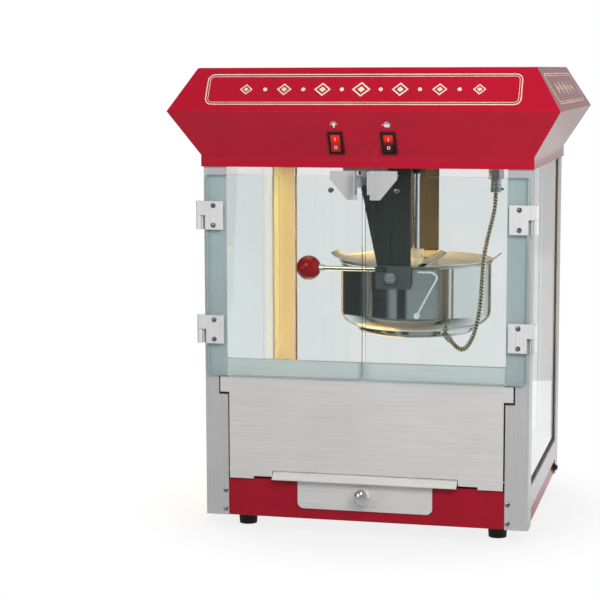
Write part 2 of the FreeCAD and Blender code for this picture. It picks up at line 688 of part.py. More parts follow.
def make_posts():
    profile = [("half_w", "-half_d"), ("half_w", "-half_d + post_leg"), ("in_w", "-half_d + post_leg"),
               ("in_w", "-in_d"), ("half_w - post_leg", "-in_d"), ("half_w - post_leg", "-half_d")]
    holes = [cylinder("screw_r + turn_gap", ("post_screw_x", "-half_d - post_wall", z), "3 * post_wall", "y")
             for z in POST_SCREW_HEIGHTS]
    angle = cut(pad("XY_Plane", [profile], "foot_h", "ceil_z"), *holes)
    # The panel's ears lie in notches in the front legs.
    notch = box(("half_w - post_leg - post_wall", "-half_d - post_wall", "ear_low - notch_drop"),
                ("panel_w / 2 + ear_w + notch_side", "-in_d + post_wall", "ear_low + ear_h + seat_gap"))
    keep(across(keep(cut(angle, notch), "front_right_post")), "front_left_post")
    keep(across(keep(mirror(angle, Vector(0, 1, 0)), "rear_right_post")), "rear_left_post")


def make_rails():
    side = keep(box(("base_x + seat_gap", "-half_d + post_leg + seat_gap", "base_top - rail_h"),
                    ("half_w", "half_d - post_leg - seat_gap", "base_top")), "right_side_rail")
    keep(across(side), "left_side_rail")
    keep(box(("-half_w + post_leg + seat_gap", "base_y + seat_gap", "base_top - rail_h"),
             ("half_w - post_leg - seat_gap", "half_d", "base_top")), "rear_rail")
    upright = box(("-pane_x", "-in_d", "panel_top + door_lift"),
                  ("pane_x", "-in_d + cross_t", "panel_top + door_lift + cross_h"))
    fold = box(("-pane_x", "-in_d", "panel_top + door_lift + cross_h - cross_t"),
               ("pane_x", "-in_d + cross_fold", "panel_top + door_lift + cross_h"))
    keep(fuse(upright, fold), "front_cross_rail")


def make_glass():
    side = keep(box(("glass_in", "-base_y", "pane_low"), ("glass_x", "base_y", "pane_high")), "right_glass")
    keep(across(side), "left_glass")
    keep(box(("-pane_x", "glass_y - glass_t", "pane_low"), ("pane_x", "glass_y", "pane_high")), "rear_glass")
    view_y = "half_d - post_leg - seal_show"
    view_x = "half_w - post_leg - seal_show"
    view_low = "base_top + seal_show"
    view_high = "ceil_z - seal_show"
    side_seal = pad("YZ_Plane", [rectangle("-base_y", "pane_low", "base_y", "pane_high"),
                                 rectangle(f"-({view_y})", view_low, view_y, view_high)], "glass_x", "in_w")
    rear_seal = pad("XZ_Plane", [rectangle("-pane_x", "pane_low", "pane_x", "pane_high"),
                                 rectangle(f"-({view_x})", view_low, view_x, view_high)], "glass_y", "in_d")
    keep(group(side_seal, across(side_seal), rear_seal), "glazing_seals")


def make_deck():
    rows = int(size("deck_back - sieve_end") // size("sieve_step_y"))
    columns = int(size("drawer_w - sieve_side") // size("sieve_step_x"))
    outline = rectangle("-pane_x", "-base_y", "pane_x", "deck_back")
    plate = pad("XY_Plane", [outline], "deck_top - deck_t", "deck_top")
    slots = []
    for number in range(rows):
        start = f"{number} * sieve_step_y - {rows} * sieve_step_y / 2"
        end = f"{start} + sieve_len"
        middle = f"-{columns - 1} * sieve_step_x / 2"
        left, right = f"{middle} - sieve_w / 2", f"{middle} + sieve_w / 2"
        slots.append([(right, start), (right, end, HALF_CIRCLE), (left, end), (left, start, HALF_CIRCLE)])
    pocket = plate.newObject("PartDesign::Pocket", "sieve")
    pocket.Profile = body_sketch(plate, "XY_Plane", slots, "deck_top")
    pocket.setExpression("Length", bound("2 * deck_t"))
    pattern = plate.newObject("PartDesign::LinearPattern", "sieve_row")
    pattern.Originals = [pocket]
    pattern.Direction = (origin_feature(plate, "X_Axis"), [""])
    pattern.Occurrences = columns
    pattern.setExpression("Length", bound(f"{columns - 1} * sieve_step_x"))
    plate.Tip = pattern
    hem = box(("pane_x - deck_t", "-base_y", "base_top"), ("pane_x", "deck_back", "deck_top"))
    rear_hem = box(("-pane_x", "deck_back - deck_t", "base_top"), ("pane_x", "deck_back", "deck_top"))
    foot_y, foot_z = "-half_d - ledge_out", "base_top + deck_t"
    slope = [("-base_y", "deck_top - deck_t"), ("-base_y", "deck_top"), (foot_y, f"{foot_z} + deck_t"),
             (foot_y, foot_z)]
    ledge = pad("YZ_Plane", [slope], "-ledge_w / 2", "ledge_w / 2")
    keep(fuse(plate, hem, across(hem), rear_hem, ledge), "deck_plate")


def make_front_panel():
    half = "panel_w / 2"
    ear_top = "panel_top - ear_drop"
    notch, step, ear = "notch_w / 2", "notch_w / 2 + step_w", f"{half} + ear_w"
    right = [(notch, "base_top + notch_h"), (notch, "base_top + step_h"), (step, "base_top + step_h"),
             (step, "base_top"), (half, "base_top"), (half, "ear_low"), (ear, "ear_low"), (ear, ear_top),
             (half, ear_top), (half, "panel_top")]
    left = [(f"-({x})", z) for x, z in reversed(right)]
    sheet_face = pad("XZ_Plane", [right + left], "panel_front", "panel_back")
    fold = box((f"-{half}", "panel_front", "panel_top - panel_t"),
               (half, "panel_back + panel_fold", "panel_top"))
    keep(fuse(sheet_face, fold), "front_panel")


def make_drawer():
    half = "drawer_w / 2"
    front, back = "face_back", "face_back + drawer_d"
    top = "drawer_low + drawer_h"
    outer = box((f"-{half}", front, "drawer_low"), (half, back, top))
    hollow = box((f"-{half} + drawer_wall", f"{front} + drawer_wall", "drawer_low + drawer_wall"),
                 (f"{half} - drawer_wall", f"{back} - drawer_wall", f"{top} + drawer_wall"))
    keep(cut(outer, hollow), "drawer_tray")
    side = "face_w / 2"
    outline = [(f"-{side}", "face_top"), (f"-{side}", "face_low + face_round", "face_round"),
               (f"-{side} + face_round", "face_low"), (f"{side} - face_round", "face_low", "face_round"),
               (side, "face_low + face_round"), (side, "face_top")]
    keep(pad("XZ_Plane", [outline], "face_back - face_t", "face_back"), "drawer_front")
    # The knob's outline in shares of its radius and length: foot, neck, flare and dome
    knob = [("0", "0"), ("knob_r * 0.55", "0"), ("knob_r * 0.55", "knob_out * 0.1"),
            ("knob_r * 0.38", "knob_out * 0.2", "-knob_out * 0.45"), ("knob_r * 0.7", "knob_out * 0.5"),
            ("knob_r", "knob_out * 0.68", cap_radius("knob_r", "knob_out * 0.32")), ("0", "knob_out")]
    knob_z = "(face_top + face_low) / 2 + knob_rise"
    keep(turned(knob, ("0", "face_back - face_t", knob_z), TURNS["-y"]), "drawer_knob")
    web = f"{half} + 2 * seat_gap"
    outside, inside = f"{web} + runner_wall", f"{half} - runner_leg"
    guide_top = "drawer_low + runner_guide"
    leg_top = "drawer_low - seat_gap"
    leg_low = f"{leg_top} - runner_wall"
    profile = [(web, "base_floor"), (outside, "base_floor"), (outside, guide_top), (web, guide_top),
               (web, leg_top), (inside, leg_top), (inside, leg_low), (web, leg_low)]
    runner = pad("XZ_Plane", [profile], "-base_y + bar_reach", back)
    keep(group(runner, across(runner)), "drawer_runners")


def in_slope(obj, x, y="switch_y", z="switch_z", extra=0.0):
    """Place a piece drawn flat on the canopy's outward slope.

    Its Y runs up the slope and its Z out of the sheet.
    """
    lean = math.degrees(math.atan2(size("flare_out"), size("flare_h")))
    return place(obj, (x, y, z), Rotation(Vector(1, 0, 0), 90 + lean + extra))


def block_about(half_x, half_y, low, high):
    return box((f"-({half_x})", f"-({half_y})", low), (half_x, half_y, high))


def make_canopy():
    outer = loft([("skirt_x", "skirt_y", "skirt_z"), ("skirt_x", "skirt_y", "skirt_top"),
                  ("ridge_x", "ridge_y", "ridge_z"), ("roof_x", "roof_y", "roof_z")])
    soft = rounded(outer, lambda p: p.z > size("roof_z") - 0.01, "roof_round")
    taper = "sheet_t * roof_in / roof_h - slope_wall"
    inner = loft([("skirt_x - sheet_t", "skirt_y - sheet_t", "skirt_z - sheet_t"),
                  ("skirt_x - sheet_t", "skirt_y - sheet_t", "skirt_top"),
                  ("ridge_x - slope_wall", "ridge_y - slope_wall", "ridge_z"),
                  (f"roof_x + {taper}", f"roof_y + {taper}", "roof_z - sheet_t")])
    holes = []
    for x in ("switch_x", "-switch_x"):
        hole = block_about("shell_w / 2 + seat_gap", "shell_h / 2 + seat_gap", "-shell_d", "bezel_t")
        holes.append(in_slope(group(hole), x))
    keep(cut(soft, inner, *holes), "canopy_shell")
    for x, name in (("-switch_x", "light_switch"), ("switch_x", "kettle_switch")):
        bezel = block_about("bezel_w / 2", "bezel_h / 2", "seat_gap", "bezel_t + seat_gap")
        housing = block_about("shell_w / 2", "shell_h / 2", "-shell_d", "seat_gap")
        well = block_about("window_w / 2", "window_h / 2", "-window_d", "bezel_t + 2 * seat_gap")
        reach = "rocker_w / 2 + rocker_pin_in"
        pin_hole = cylinder("rocker_pin_r + turn_gap", (f"-({reach}) - seat_gap", "0", "-rocker_deep"),
                            f"2 * ({reach} + seat_gap)", "x")
        keep(in_slope(cut(fuse(bezel, housing), well, pin_hole), x), name + "_frame")
        end = "rocker_h / 2"
        valley = "rocker_rise - rocker_dip"
        profile = [(f"-{end}", "0"), ("-rocker_h / 4", "-rocker_foot"), ("rocker_h / 4", "-rocker_foot"),
                   (end, "0"), (end, "rocker_rise"), ("0", valley), (f"-{end}", "rocker_rise")]
        button = pad("YZ_Plane", [profile], "-rocker_w / 2", "rocker_w / 2")
        pivot = cylinder("rocker_pin_r", (f"-({reach})", "0", "0"), f"2 * ({reach})", "x")
        keep(in_slope(fuse(button, pivot), x, "rocker_y", "rocker_z", -size("rocker_tilt")), name + "_rocker")


def make_ceiling():
    plate = box(("-half_w - skirt_gap + seat_gap", "-half_d - skirt_gap + seat_gap", "ceil_z"),
                ("half_w + skirt_gap - seat_gap", "half_d + skirt_gap - seat_gap", "ceil_top"))
    holes = [cylinder(r, (x, y, "ceil_z - ceil_t"), "3 * ceil_t") for r, x, y in
             [("coupling_r + coupling_room", "kettle_x", "0"), ("lamp_hole_r", "-lamp_x", "lamp_y"),
              ("gland_r + seat_gap", "gland_x", "-gland_y")] +
             [("screw_r + turn_gap", x, y) for x, y in YOKE_BOLTS]]
    keep(cut(plate, *holes), "ceiling_plate")
    gearbox = box(("kettle_x - gearbox_w / 2", "-gearbox_d / 2", "ceil_top"),
                  ("kettle_x + gearbox_w / 2", "gearbox_d / 2", "ceil_top + gearbox_h"))
    bore = cylinder("drive_r + turn_gap", ("kettle_x", "0", "ceil_z"), "ceil_t + drive_in + overcut")
    can = cylinder("motor_r", ("kettle_x", "0", "ceil_top + gearbox_h"), "motor_h")
    keep(group(cut(gearbox, bore), can), "gear_motor")
    body = cylinder("coupling_r", ("kettle_x", "0", "coupling_low"), "coupling_drop - ceil_t")
    slot_top = "shaft_top + tongue_h + drive_gap"
    slot = box(("kettle_x - coupling_r - overcut", "-tongue_t / 2 - tongue_gap", "coupling_low - overcut"),
               ("kettle_x + coupling_r + overcut", "tongue_t / 2 + tongue_gap", slot_top))
    shaft = cylinder("drive_r", ("kettle_x", "0", "ceil_z - ceil_t"), "2 * ceil_t + drive_in")
    keep(fuse(cut(body, slot), shaft), "drive_coupling")


def make_lamp():
    axis_z = "ceil_top + lamp_rise"
    back_x = "-lamp_x - lamp_hole_r - lamp_back"
    upright = box((f"{back_x} - bracket_t", "lamp_y - bracket_w / 2", "ceil_top"),
                  (back_x, "lamp_y + bracket_w / 2", f"{axis_z} + socket_r"))
    foot = box((f"{back_x} - bracket_w / 2", "lamp_y - bracket_w / 2", "ceil_top"),
               (back_x, "lamp_y + bracket_w / 2", "ceil_top + bracket_t"))
    socket = cylinder("socket_r", (back_x, "lamp_y", axis_z), "socket_len", "x")
    keep(fuse(upright, foot, socket), "lamp_holder")
    globe = [("0", "0"), ("bulb_neck_r", "0"), ("bulb_neck_r", "bulb_neck_r", "-bulb_flare_r"),
             ("bulb_r", "bulb_neck_r + bulb_wide", "bulb_r"), ("0", "bulb_neck_r + bulb_wide + bulb_r")]
    keep(turned(globe, (f"{back_x} + socket_len", "lamp_y", axis_z), TURNS["x"]), "lamp_bulb")


def make_yoke():
    right = "pivot_x + arm_right"
    outline = [(f"{right} - arm_top_w", "ceil_z"), (f"{right} - arm_foot_w", "pivot_z - arm_under"),
               (right, "pivot_z - arm_under"), (right, "ceil_z")]
    front = pad("XZ_Plane", [outline, ("pivot_x", "pivot_z", "trunnion_r + turn_gap")], "-arm_out", "-arm_in")
    rear = pad("XZ_Plane", [outline, ("pivot_x", "pivot_z", "trunnion_r + turn_gap")], "arm_in", "arm_out")
    top = box((f"{right} - arm_top_w", "-arm_out", "ceil_z - arm_t"), (right, "arm_out", "ceil_z"))
    holes = [cylinder("screw_r + turn_gap", (x, y, "ceil_z - 2 * arm_t"), "3 * arm_t") for x, y in YOKE_BOLTS]
    holes.append(cylinder("coupling_r + coupling_room", ("kettle_x", "0", "ceil_z - 2 * arm_t"), "3 * arm_t"))
    keep(cut(fuse(front, rear, top), *holes), "kettle_yoke")


def make_pot():
    outer, inner = "kettle_r", "kettle_r - pot_wall"
    bend = "kettle_r - pot_round"
    wall = [("0", "0"), (bend, "0", "pot_round"), (outer, "pot_round"), (outer, "pot_h - 2 * bead"),
            (f"{outer} + bead", "pot_h - bead", "bead * 0.75"), (f"{outer} + bead * 0.4", "pot_h"),
            (inner, "pot_h"), (inner, "pot_round", "-(pot_round - pot_wall)"), (bend, "pot_wall"),
            ("0", "pot_wall")]
    keep(turned(wall, ("kettle_x", "0", "pot_floor")), "kettle_pot")
    dish = [("0", "0"), ("cover_r - cover_round", "0", "cover_round"), ("cover_r", "cover_round"),
            ("cover_r", "cover_h"), ("cover_r - pot_wall", "cover_h"), ("cover_r - pot_wall", "pot_wall"),
            ("0", "pot_wall")]
    keep(turned(dish, ("kettle_x", "0", "pot_floor - cover_h")), "heater_cover")
    keep(cylinder("heater_r", ("kettle_x", "0", "pot_floor - heater_t"), "heater_t"), "heater_plate")


def pot_plug():
    return cylinder("kettle_r", ("kettle_x", "0", "pot_floor"), "pot_h")


def make_trunnions():
    front_end = "hub_front - nut_t - pin_end"
    pieces = []
    for side, end in ((-1, front_end), (1, "arm_out + nut_t + pin_end")):
        low, high = ("0", end) if side > 0 else (end, "0")
        shaft = cylinder("trunnion_r", ("pivot_x", low, "pivot_z"), f"({high}) - ({low})", "y")
        low, high = ("0", "arm_in - seat_gap") if side > 0 else ("-arm_in + seat_gap", "0")
        collar = cylinder("collar_r", ("pivot_x", low, "pivot_z"), f"({high}) - ({low})", "y")
        pieces.append(cut(fuse(shaft, collar), pot_plug()))
        seat = "arm_out + seat_gap" if side > 0 else "hub_front - nut_t"
        nut = doc.addObject("Part::Prism", "nut")
        nut.Polygon = 6
        nut.setExpression("Circumradius", bound("nut_r"))
        nut.setExpression("Height", bound("nut_t"))
        place(nut, ("pivot_x", seat, "pivot_z"), TURNS["y"])
        bore = cylinder("trunnion_r", ("pivot_x", f"{seat} - overcut", "pivot_z"), "nut_t + 2 * overcut", "y")
        pieces.append(cut(nut, bore))
    keep(group(*pieces), "trunnion_pins")


def make_handle():
    left = "pivot_x - hub_left"
    outline = rounded_rectangle(left, "pivot_z - hub_down", "pivot_x + hub_right", "pivot_z + hub_up",
                                "hub_round")
    plate = pad("XZ_Plane", [outline, ("pivot_x", "pivot_z", "trunnion_r")], "hub_front", "hub_back")
    keep(plate, "handle_hub")
    ball_x = "pivot_x - grip_len"
    inner_end = f"{ball_x} + ball_r - ball_depth"
    rod = cylinder("grip_r", (inner_end, "grip_y", "grip_z"), f"{left} - ({inner_end})", "x")
    tang = box((f"{left} - grip_r", "hub_front - grip_tang_t", "grip_z - grip_r"),
               (f"{left} + grip_tang_w", "hub_front", "grip_z + grip_r"))
    keep(fuse(rod, tang), "handle_rod")
    ball = doc.addObject("Part::Sphere", "ball")
    ball.setExpression("Radius", bound("ball_r"))
    place(ball, (ball_x, "grip_y", "grip_z"))
    hole = cylinder("grip_r + turn_gap", (f"{inner_end} - seat_gap", "grip_y", "grip_z"),
                    "ball_depth + overcut", "x")
    keep(cut(ball, hole), "handle_knob")


def make_lids():
    axis_z = "rim_z + lid_axis_z"
    half_rod = "lid_knuckle_len / 2 + seat_gap"
    strap = box(("kettle_x - bridge_w / 2", "-kettle_r", "rim_z"),
                ("kettle_x + bridge_w / 2", "kettle_r", "rim_z + bridge_t"))
    bush = cylinder("bush_r", ("kettle_x", "0", "rim_z"), "bush_h")
    front_ear = f"-({half_rod}) - ear_t"
    ear_top = f"{axis_z} + lid_rod_r + ear_edge"
    hold = []
    for side in (-1, 1):
        x = f"kettle_x + {side} * lid_axis_x"
        hold.append(cylinder("lid_rod_r", (x, front_ear, axis_z), f"2 * ({half_rod} + ear_t)", "y"))
        near = f"kettle_x + {side} * (bridge_w / 2 - ear_edge)"
        far = f"kettle_x + {side} * (lid_axis_x + lid_rod_r + ear_edge)"
        low_x, high_x = (near, far) if side > 0 else (far, near)
        for start in (half_rod, front_ear):
            hold.append(box((low_x, start, "rim_z + seat_gap"), (high_x, f"{start} + ear_t", ear_top)))
    bore = cylinder("shaft_r + turn_gap", ("kettle_x", "0", "rim_z - overcut"), "bush_h + 2 * overcut")
    keep(cut(fuse(strap, bush, *hold), bore), "lid_bridge")

    edge = "kettle_r + lid_over"
    inner = "lid_axis_x + lid_knuckle_r + lid_in"
    chord = f"sqrt(({edge}) ^ 2 - ({inner}) ^ 2)"
    half_len, lid_top = "lid_knuckle_len / 2", "lid_z + lid_t"
    sheet_body = pad("XY_Plane", [[(inner, f"-{chord}", edge), (inner, chord)]], "lid_z", lid_top)
    web = box(("lid_axis_x", f"-{half_len}", "lid_z"), (f"{inner} + lid_in", half_len, lid_top))
    knuckle = cylinder("lid_knuckle_r", ("lid_axis_x", f"-{half_len}", axis_z), "lid_knuckle_len", "y")
    tip_x, tip_z = "kettle_r + tab_out", "lid_z + tab_up"
    root_x, bend_x = "kettle_r - tab_root", "kettle_r - tab_bend"
    bend = "tab_up + tab_out"
    # The tab curls up from the lid, and its end is square to the curl.
    tab = [(root_x, "lid_z"), (bend_x, "lid_z", bend), (tip_x, tip_z),
           (f"{tip_x} - lid_t", f"{tip_z} + lid_t * 0.6", f"-({bend} - lid_t)"),
           (f"{bend_x} - lid_t / 3", lid_top), (root_x, lid_top)]
    curl = pad("XZ_Plane", [tab], "-tab_wide / 2", "tab_wide / 2")
    bore = cylinder("lid_rod_r + turn_gap", ("lid_axis_x", f"-{half_len} - overcut", axis_z),
                    "lid_knuckle_len + 2 * overcut", "y")
    half = cut(fuse(sheet_body, web, knuckle, curl), bore)
    right = place(group(half), ("kettle_x", "0", "0"))
    keep(right, "lid_right")
    left = place(group(across(half)), ("kettle_x", "0", "0"))
    keep(left, "lid_left")


def make_stirrer():
    shaft = cylinder("shaft_r", ("kettle_x", "0", "shaft_low"), "shaft_top - shaft_low")
    tongue = box(("kettle_x - shaft_r + tongue_in", "-tongue_t / 2", "shaft_top - overcut"),
                 ("kettle_x + shaft_r - tongue_in", "tongue_t / 2", "shaft_top + tongue_h"))
    keep(fuse(shaft, tongue), "stirrer_shaft")
    low = "pot_floor + pot_wall + blade_lift"
    hub = cylinder("blade_hub_r", ("kettle_x", "0", low), "blade_hub_h")
    high = f"{low} + blade_h"
    long_bar = box(("kettle_x - blade_len", "-blade_t / 2", low),
                   ("kettle_x + blade_len", "blade_t / 2", high))
    short_bar = box(("kettle_x - blade_t / 2", "-short_blade_len", low),
                    ("kettle_x + blade_t / 2", "short_blade_len", high))
    bore = cylinder("shaft_r", ("kettle_x", "0", f"{low} - overcut"), "blade_hub_h + 2 * overcut")
    keep(cut(fuse(hub, long_bar, short_bar), bore), "stirrer_blades")


def make_doors():
    def leaf_spots(z):
        return [("half_w - leaf_screw_x", f"{z} + {side} * leaf_screw_gap / 2") for side in (-1, 1)]

    outline = rounded_rectangle("door_meet / 2", "door_low", "door_x", "door_high", "door_round")
    strike_screw = ("strike_screw_x", "door_front", "door_high - strike_screw_down")
    spots = [spot for z in HINGE_HEIGHTS for spot in leaf_spots(z)]
    holes = [cylinder("screw_r + turn_gap", (x, "door_front - overcut", z), "door_t + 2 * overcut", "y")
             for x, z in spots + [(strike_screw[0], strike_screw[2])]]
    glass = keep(cut(pad("XZ_Plane", [outline], "door_front", "door_back"), *holes), "right_door_glass")
    keep(across(glass), "left_door_glass")

    leaves, post_leaves, pins = [], [], []
    for z in HINGE_HEIGHTS:
        top, foot = f"{z} + hinge_h / 2", f"{z} - hinge_h / 2"
        middle_up, middle_down = f"{z} + seat_gap / 2", f"{z} - seat_gap / 2"
        inner, notch = "half_w - leaf_w", "half_w - leaf_notch"
        leaf = [(inner, foot), (notch, foot), (notch, middle_up), ("hinge_x", middle_up), ("hinge_x", top),
                (inner, top)]
        flat = pad("XZ_Plane", [leaf], "door_front - leaf_t", "door_front")
        knuckle_h = f"({top}) - ({middle_up})"
        knuckle = cylinder("barrel_r", ("hinge_x", "hinge_y", middle_up), knuckle_h)
        bores = [cylinder("pin_r + turn_gap", ("hinge_x", "hinge_y", middle_up), knuckle_h)]
        bores += [cylinder("screw_r + turn_gap", (x, "door_front - 2 * leaf_t", spot), "3 * leaf_t", "y")
                  for x, spot in leaf_spots(z)]
        leaves.append(cut(fuse(flat, knuckle), *bores))
        back_y, clear_y = "hinge_y + leaf_back", "hinge_y + barrel_r + leaf_clear"
        side_outline = [("hinge_y", foot), (back_y, foot), (back_y, top), (clear_y, top),
                        (clear_y, middle_down), ("hinge_y", middle_down)]
        side_leaf = pad("YZ_Plane", [side_outline], "half_w", "half_w + leaf_t")
        web = box(("half_w", "hinge_y + barrel_r - leaf_t", foot),
                  ("hinge_x", "hinge_y + barrel_r", middle_down))
        lower = cylinder("barrel_r", ("hinge_x", "hinge_y", foot), f"({middle_down}) - ({foot})")
        bore = cylinder("pin_r", ("hinge_x", "hinge_y", foot), f"({middle_down}) - ({foot})")
        post_leaves.append(cut(fuse(side_leaf, web, lower), bore))
        pins.append(cylinder("pin_r", ("hinge_x", "hinge_y", foot), "hinge_h"))
    leaf_set = keep(group(*leaves), "right_door_leaves")
    keep(across(leaf_set), "left_door_leaves")
    keep(group(*post_leaves, *[across(leaf) for leaf in post_leaves]), "post_hinge_leaves")
    keep(group(*pins, *[across(bar) for bar in pins]), "hinge_pins")

    screws = [screw((x, "door_front - leaf_t", z), "-y", "door_t + leaf_t") for x, z in spots]
    nut = cylinder("glass_nut_r", ("strike_screw_x", "door_back", strike_screw[2]), "glass_nut_t", "y")
    screws.append(fuse(screw(strike_screw, "-y", "door_t + glass_nut_t"), nut))
    screw_set = keep(group(*screws), "right_door_screws")
    keep(across(screw_set), "left_door_screws")


def make_strikes():
    plate = pad("XZ_Plane", [[("strike_in", "strike_low"), ("strike_in + strike_foot", "strike_low"),
                              ("strike_x", "strike_top - strike_side"), ("strike_x", "strike_top"),
                              ("strike_in", "strike_top")]], "door_front - strike_t", "door_front")
    pull = box(("strike_in", "door_front - pull_out", "strike_top - pull_h"),
               ("strike_in + strike_t", "door_front", "strike_top"))
    over_low = "door_high + seat_gap / 2"
    over_top = f"{over_low} + strike_t"
    over = box(("strike_in", "door_front - strike_t", over_low),
               ("strike_x", "door_back + strike_t", over_top))
    keeper = box(("door_meet / 2 + keeper_in", "door_back", "door_high - keeper_h"),
                 ("strike_in + strike_foot", "door_back + strike_t", over_top))
    strike = keep(fuse(plate, pull, over, keeper), "right_strike")
    keep(across(strike), "left_strike")
    face = "door_back + strike_t + seat_gap"
    low = "skirt_z - catch_show"
    arm_low = "door_high - magnet_down - magnet_r"
    plate_y = f"{face} + magnet_r"
    arm, wide = "catch_arm_w / 2", "catch_w / 2"
    outline = [(f"-{arm}", arm_low), (arm, arm_low), (arm, low), (wide, low), (wide, "ceil_z"),
               (f"-{wide}", "ceil_z"), (f"-{wide}", low), (f"-{arm}", low)]
    bracket = pad("XZ_Plane", [outline], plate_y, f"{plate_y} + catch_t")
    magnet = cylinder("magnet_r", ("0", face, "door_high - magnet_down"), "magnet_r", "y")
    keep(group(bracket, magnet), "door_catch")


def make_screws():
    pieces = []
    for x in ("post_screw_x", "-post_screw_x"):
        for z in POST_SCREW_HEIGHTS:
            bolt = screw((x, "-half_d", z), "-y", "post_wall + seat_gap + base_wall")
            pieces += [bolt, mirror(bolt, Vector(0, 1, 0))]
    pieces += [screw((x, y, "foot_recess_h"), "-z", "foot_h - foot_recess_h + base_wall") for x, y in FEET]
    pieces += [screw((x, y, "ceil_z - arm_t"), "-z", "arm_t + ceil_t") for x, y in YOKE_BOLTS]
    keep(group(*pieces), "cabinet_screws")


def make_glands():
    x, y = "gland_x", "-gland_y"
    hexagon = doc.addObject("Part::Prism", "hexagon")
    hexagon.Polygon = 6
    hexagon.setExpression("Circumradius", bound("gland_hex_r"))
    hexagon.setExpression("Height", bound("gland_hex_h"))
    place(hexagon, (x, y, "ceil_z - gland_hex_h"))
    neck = cylinder("gland_r", (x, y, "gland_low + gland_nut_h"), "gland_h")
    nut = cylinder("gland_nut_r", (x, y, "gland_low"), "gland_nut_h")
    stud = cylinder("stud_r", (f"{x} + gland_nut_r - stud_in", y, "gland_low + gland_nut_h / 2"), "stud_len",
                    "x")
    thread = cylinder("gland_r", (x, y, "ceil_z"), "gland_h")
    keep(fuse(hexagon, neck, nut, stud, thread), "conduit_gland")

    turn = math.radians(size("low_gland_turn"))
    dip = math.radians(size("low_gland_dip"))
    flat = Vector(math.cos(turn), -math.sin(turn), 0)
    outward = flat * math.cos(dip) - Vector(0, 0, math.sin(dip))
    wall = Vector(size("kettle_x"), 0, size("pot_floor - low_gland_z")) + flat * size("cover_r")
    length = size("low_gland_len")
    back = size("low_gland_r")
    barrel = doc.addObject("Part::Cylinder", "barrel")
    barrel.setExpression("Radius", bound("low_gland_r"))
    barrel.setExpression("Height", bound("low_gland_len + low_gland_r"))
    barrel.Placement = Placement(wall - outward * back, Rotation(Vector(0, 0, 1), outward))
    cover = cylinder("cover_r", ("kettle_x", "0", "pot_floor - cover_h"), "cover_h")
    keep(cut(barrel, cover, pot_plug()), "kettle_gland")

    # The cord gland stands on the base's right wall, low down near the rear corner.
    # Its flange and dome are drawn in shares of its radius and length.
    dome_r = "inlet_r * 0.7"
    dome = [("0", "0"), ("inlet_r", "0"), ("inlet_r", "inlet_out * 0.4"), (dome_r, "inlet_out * 0.4"),
            (dome_r, "inlet_out * 0.6", cap_radius(dome_r, "inlet_out * 0.4")), ("0", "inlet_out")]
    spot = ("base_x", "half_d - post_leg - inlet_r - seat_gap", "foot_h + inlet_z")
    keep(turned(dome, spot, TURNS["x"]), "cord_gland")
    return wall + outward * length, outward


def make_conduit(low_end, outward):
    """Ribbed conduit from the ceiling gland, down in front of the pot, and up to the heater cover."""
    top = Vector(size("gland_x"), -size("gland_y"), size("gland_low"))
    hang = [top + Vector(*p) for p in CONDUIT_HANG]
    lift = [low_end + Vector(*p) for p in CONDUIT_LIFT]
    points = [top, *hang, *lift, low_end + outward * size("conduit_lead"), low_end]
    path = rounded_path(points)
    radius, rib = size("conduit_r"), size("conduit_rib")
    plain = 2 * radius
    pitch = (path.Length - 2 * plain) / CONDUIT_RIBS
    stations = [(0, radius - rib)]
    for number in range(CONDUIT_RIBS):
        start = plain + number * pitch
        stations += [(start + along * pitch, radius - rib * (1 - rise)) for along, rise in RIB_OUTLINE]
    stations.append((path.Length, radius - rib))
    rings, bores = [], []
    lengths = [edge.Length for edge in path.OrderedEdges]
    for distance, r in stations:
        edge, along = path.OrderedEdges[0], distance
        for candidate, length in zip(path.OrderedEdges, lengths):
            edge = candidate
            if along <= length + 1e-9:
                break
            along -= length
        spot = edge.getParameterByLength(min(along, edge.Length))
        centre, ahead = edge.valueAt(spot), edge.tangentAt(spot)
        side = Vector(0, 1, 0)
        across_axis = (side - ahead * side.dot(ahead)).normalize()
        for holder, reach in ((rings, r), (bores, size("conduit_bore_r"))):
            circle = Part.Circle(centre, ahead, reach)
            circle.XAxis = across_axis
            holder.append(Part.Wire([circle.toShape()]))
    skin = Part.makeLoft(rings, True, True)
    bore = Part.makeLoft(bores, True, True)
    obj = doc.addObject("Part::Feature", "conduit")
    obj.Shape = skin.cut(bore)
    inner = math.pi * size("conduit_bore_r") ** 2 * path.Length
    print(f"conduit: length {path.Length:.1f}, volume {obj.Shape.Volume:.0f}, plain tube "
          f"{math.pi * radius ** 2 * path.Length - inner:.0f}")
    keep(obj, "conduit")


def make_latch_wire():
    """Bent wire on the front of the pot, from a foot near its lower edge to behind the yoke arm."""
    off = size("wire_r + wire_off")
    reach = size("kettle_r") + off
    centre_x = size("kettle_x")

    def on_pot(x, z):
        return Vector(x, -math.sqrt(reach ** 2 - (x - centre_x) ** 2), z)

    points = [on_pot(size("pivot_x") + x, size("pot_floor") + z) for x, z in WIRE_ROUTE]
    path = rounded_path(points)
    ahead = path.OrderedEdges[0].tangentAt(0)
    ring = Part.Wire([Part.Circle(points[0], ahead, size("wire_r")).toShape()])
    wire = path.makePipeShell([ring], True, False)
    centre = Vector(centre_x, 0, points[0].z)
    radial = (points[0] - centre).normalize()
    sunk = size("wire_boss_in")
    foot = centre + radial * (reach - off - sunk)
    boss = Part.makeCylinder(size("wire_boss_r"), 2 * off + sunk, foot, radial)
    solid = doc.addObject("Part::Feature", "wire")
    solid.Shape = wire.fuse(boss)
    keep(cut(solid, pot_plug()), "latch_wire")


make_base()
make_posts()
make_rails()
make_glass()
make_deck()
make_front_panel()
make_drawer()
make_canopy()
make_ceiling()
make_lamp()
make_yoke()
make_pot()
make_trunnions()
make_handle()
make_lids()
make_stirrer()
make_doors()
make_strikes()
make_screws()
make_conduit(*make_glands())
make_latch_wire()
doc.recompute()

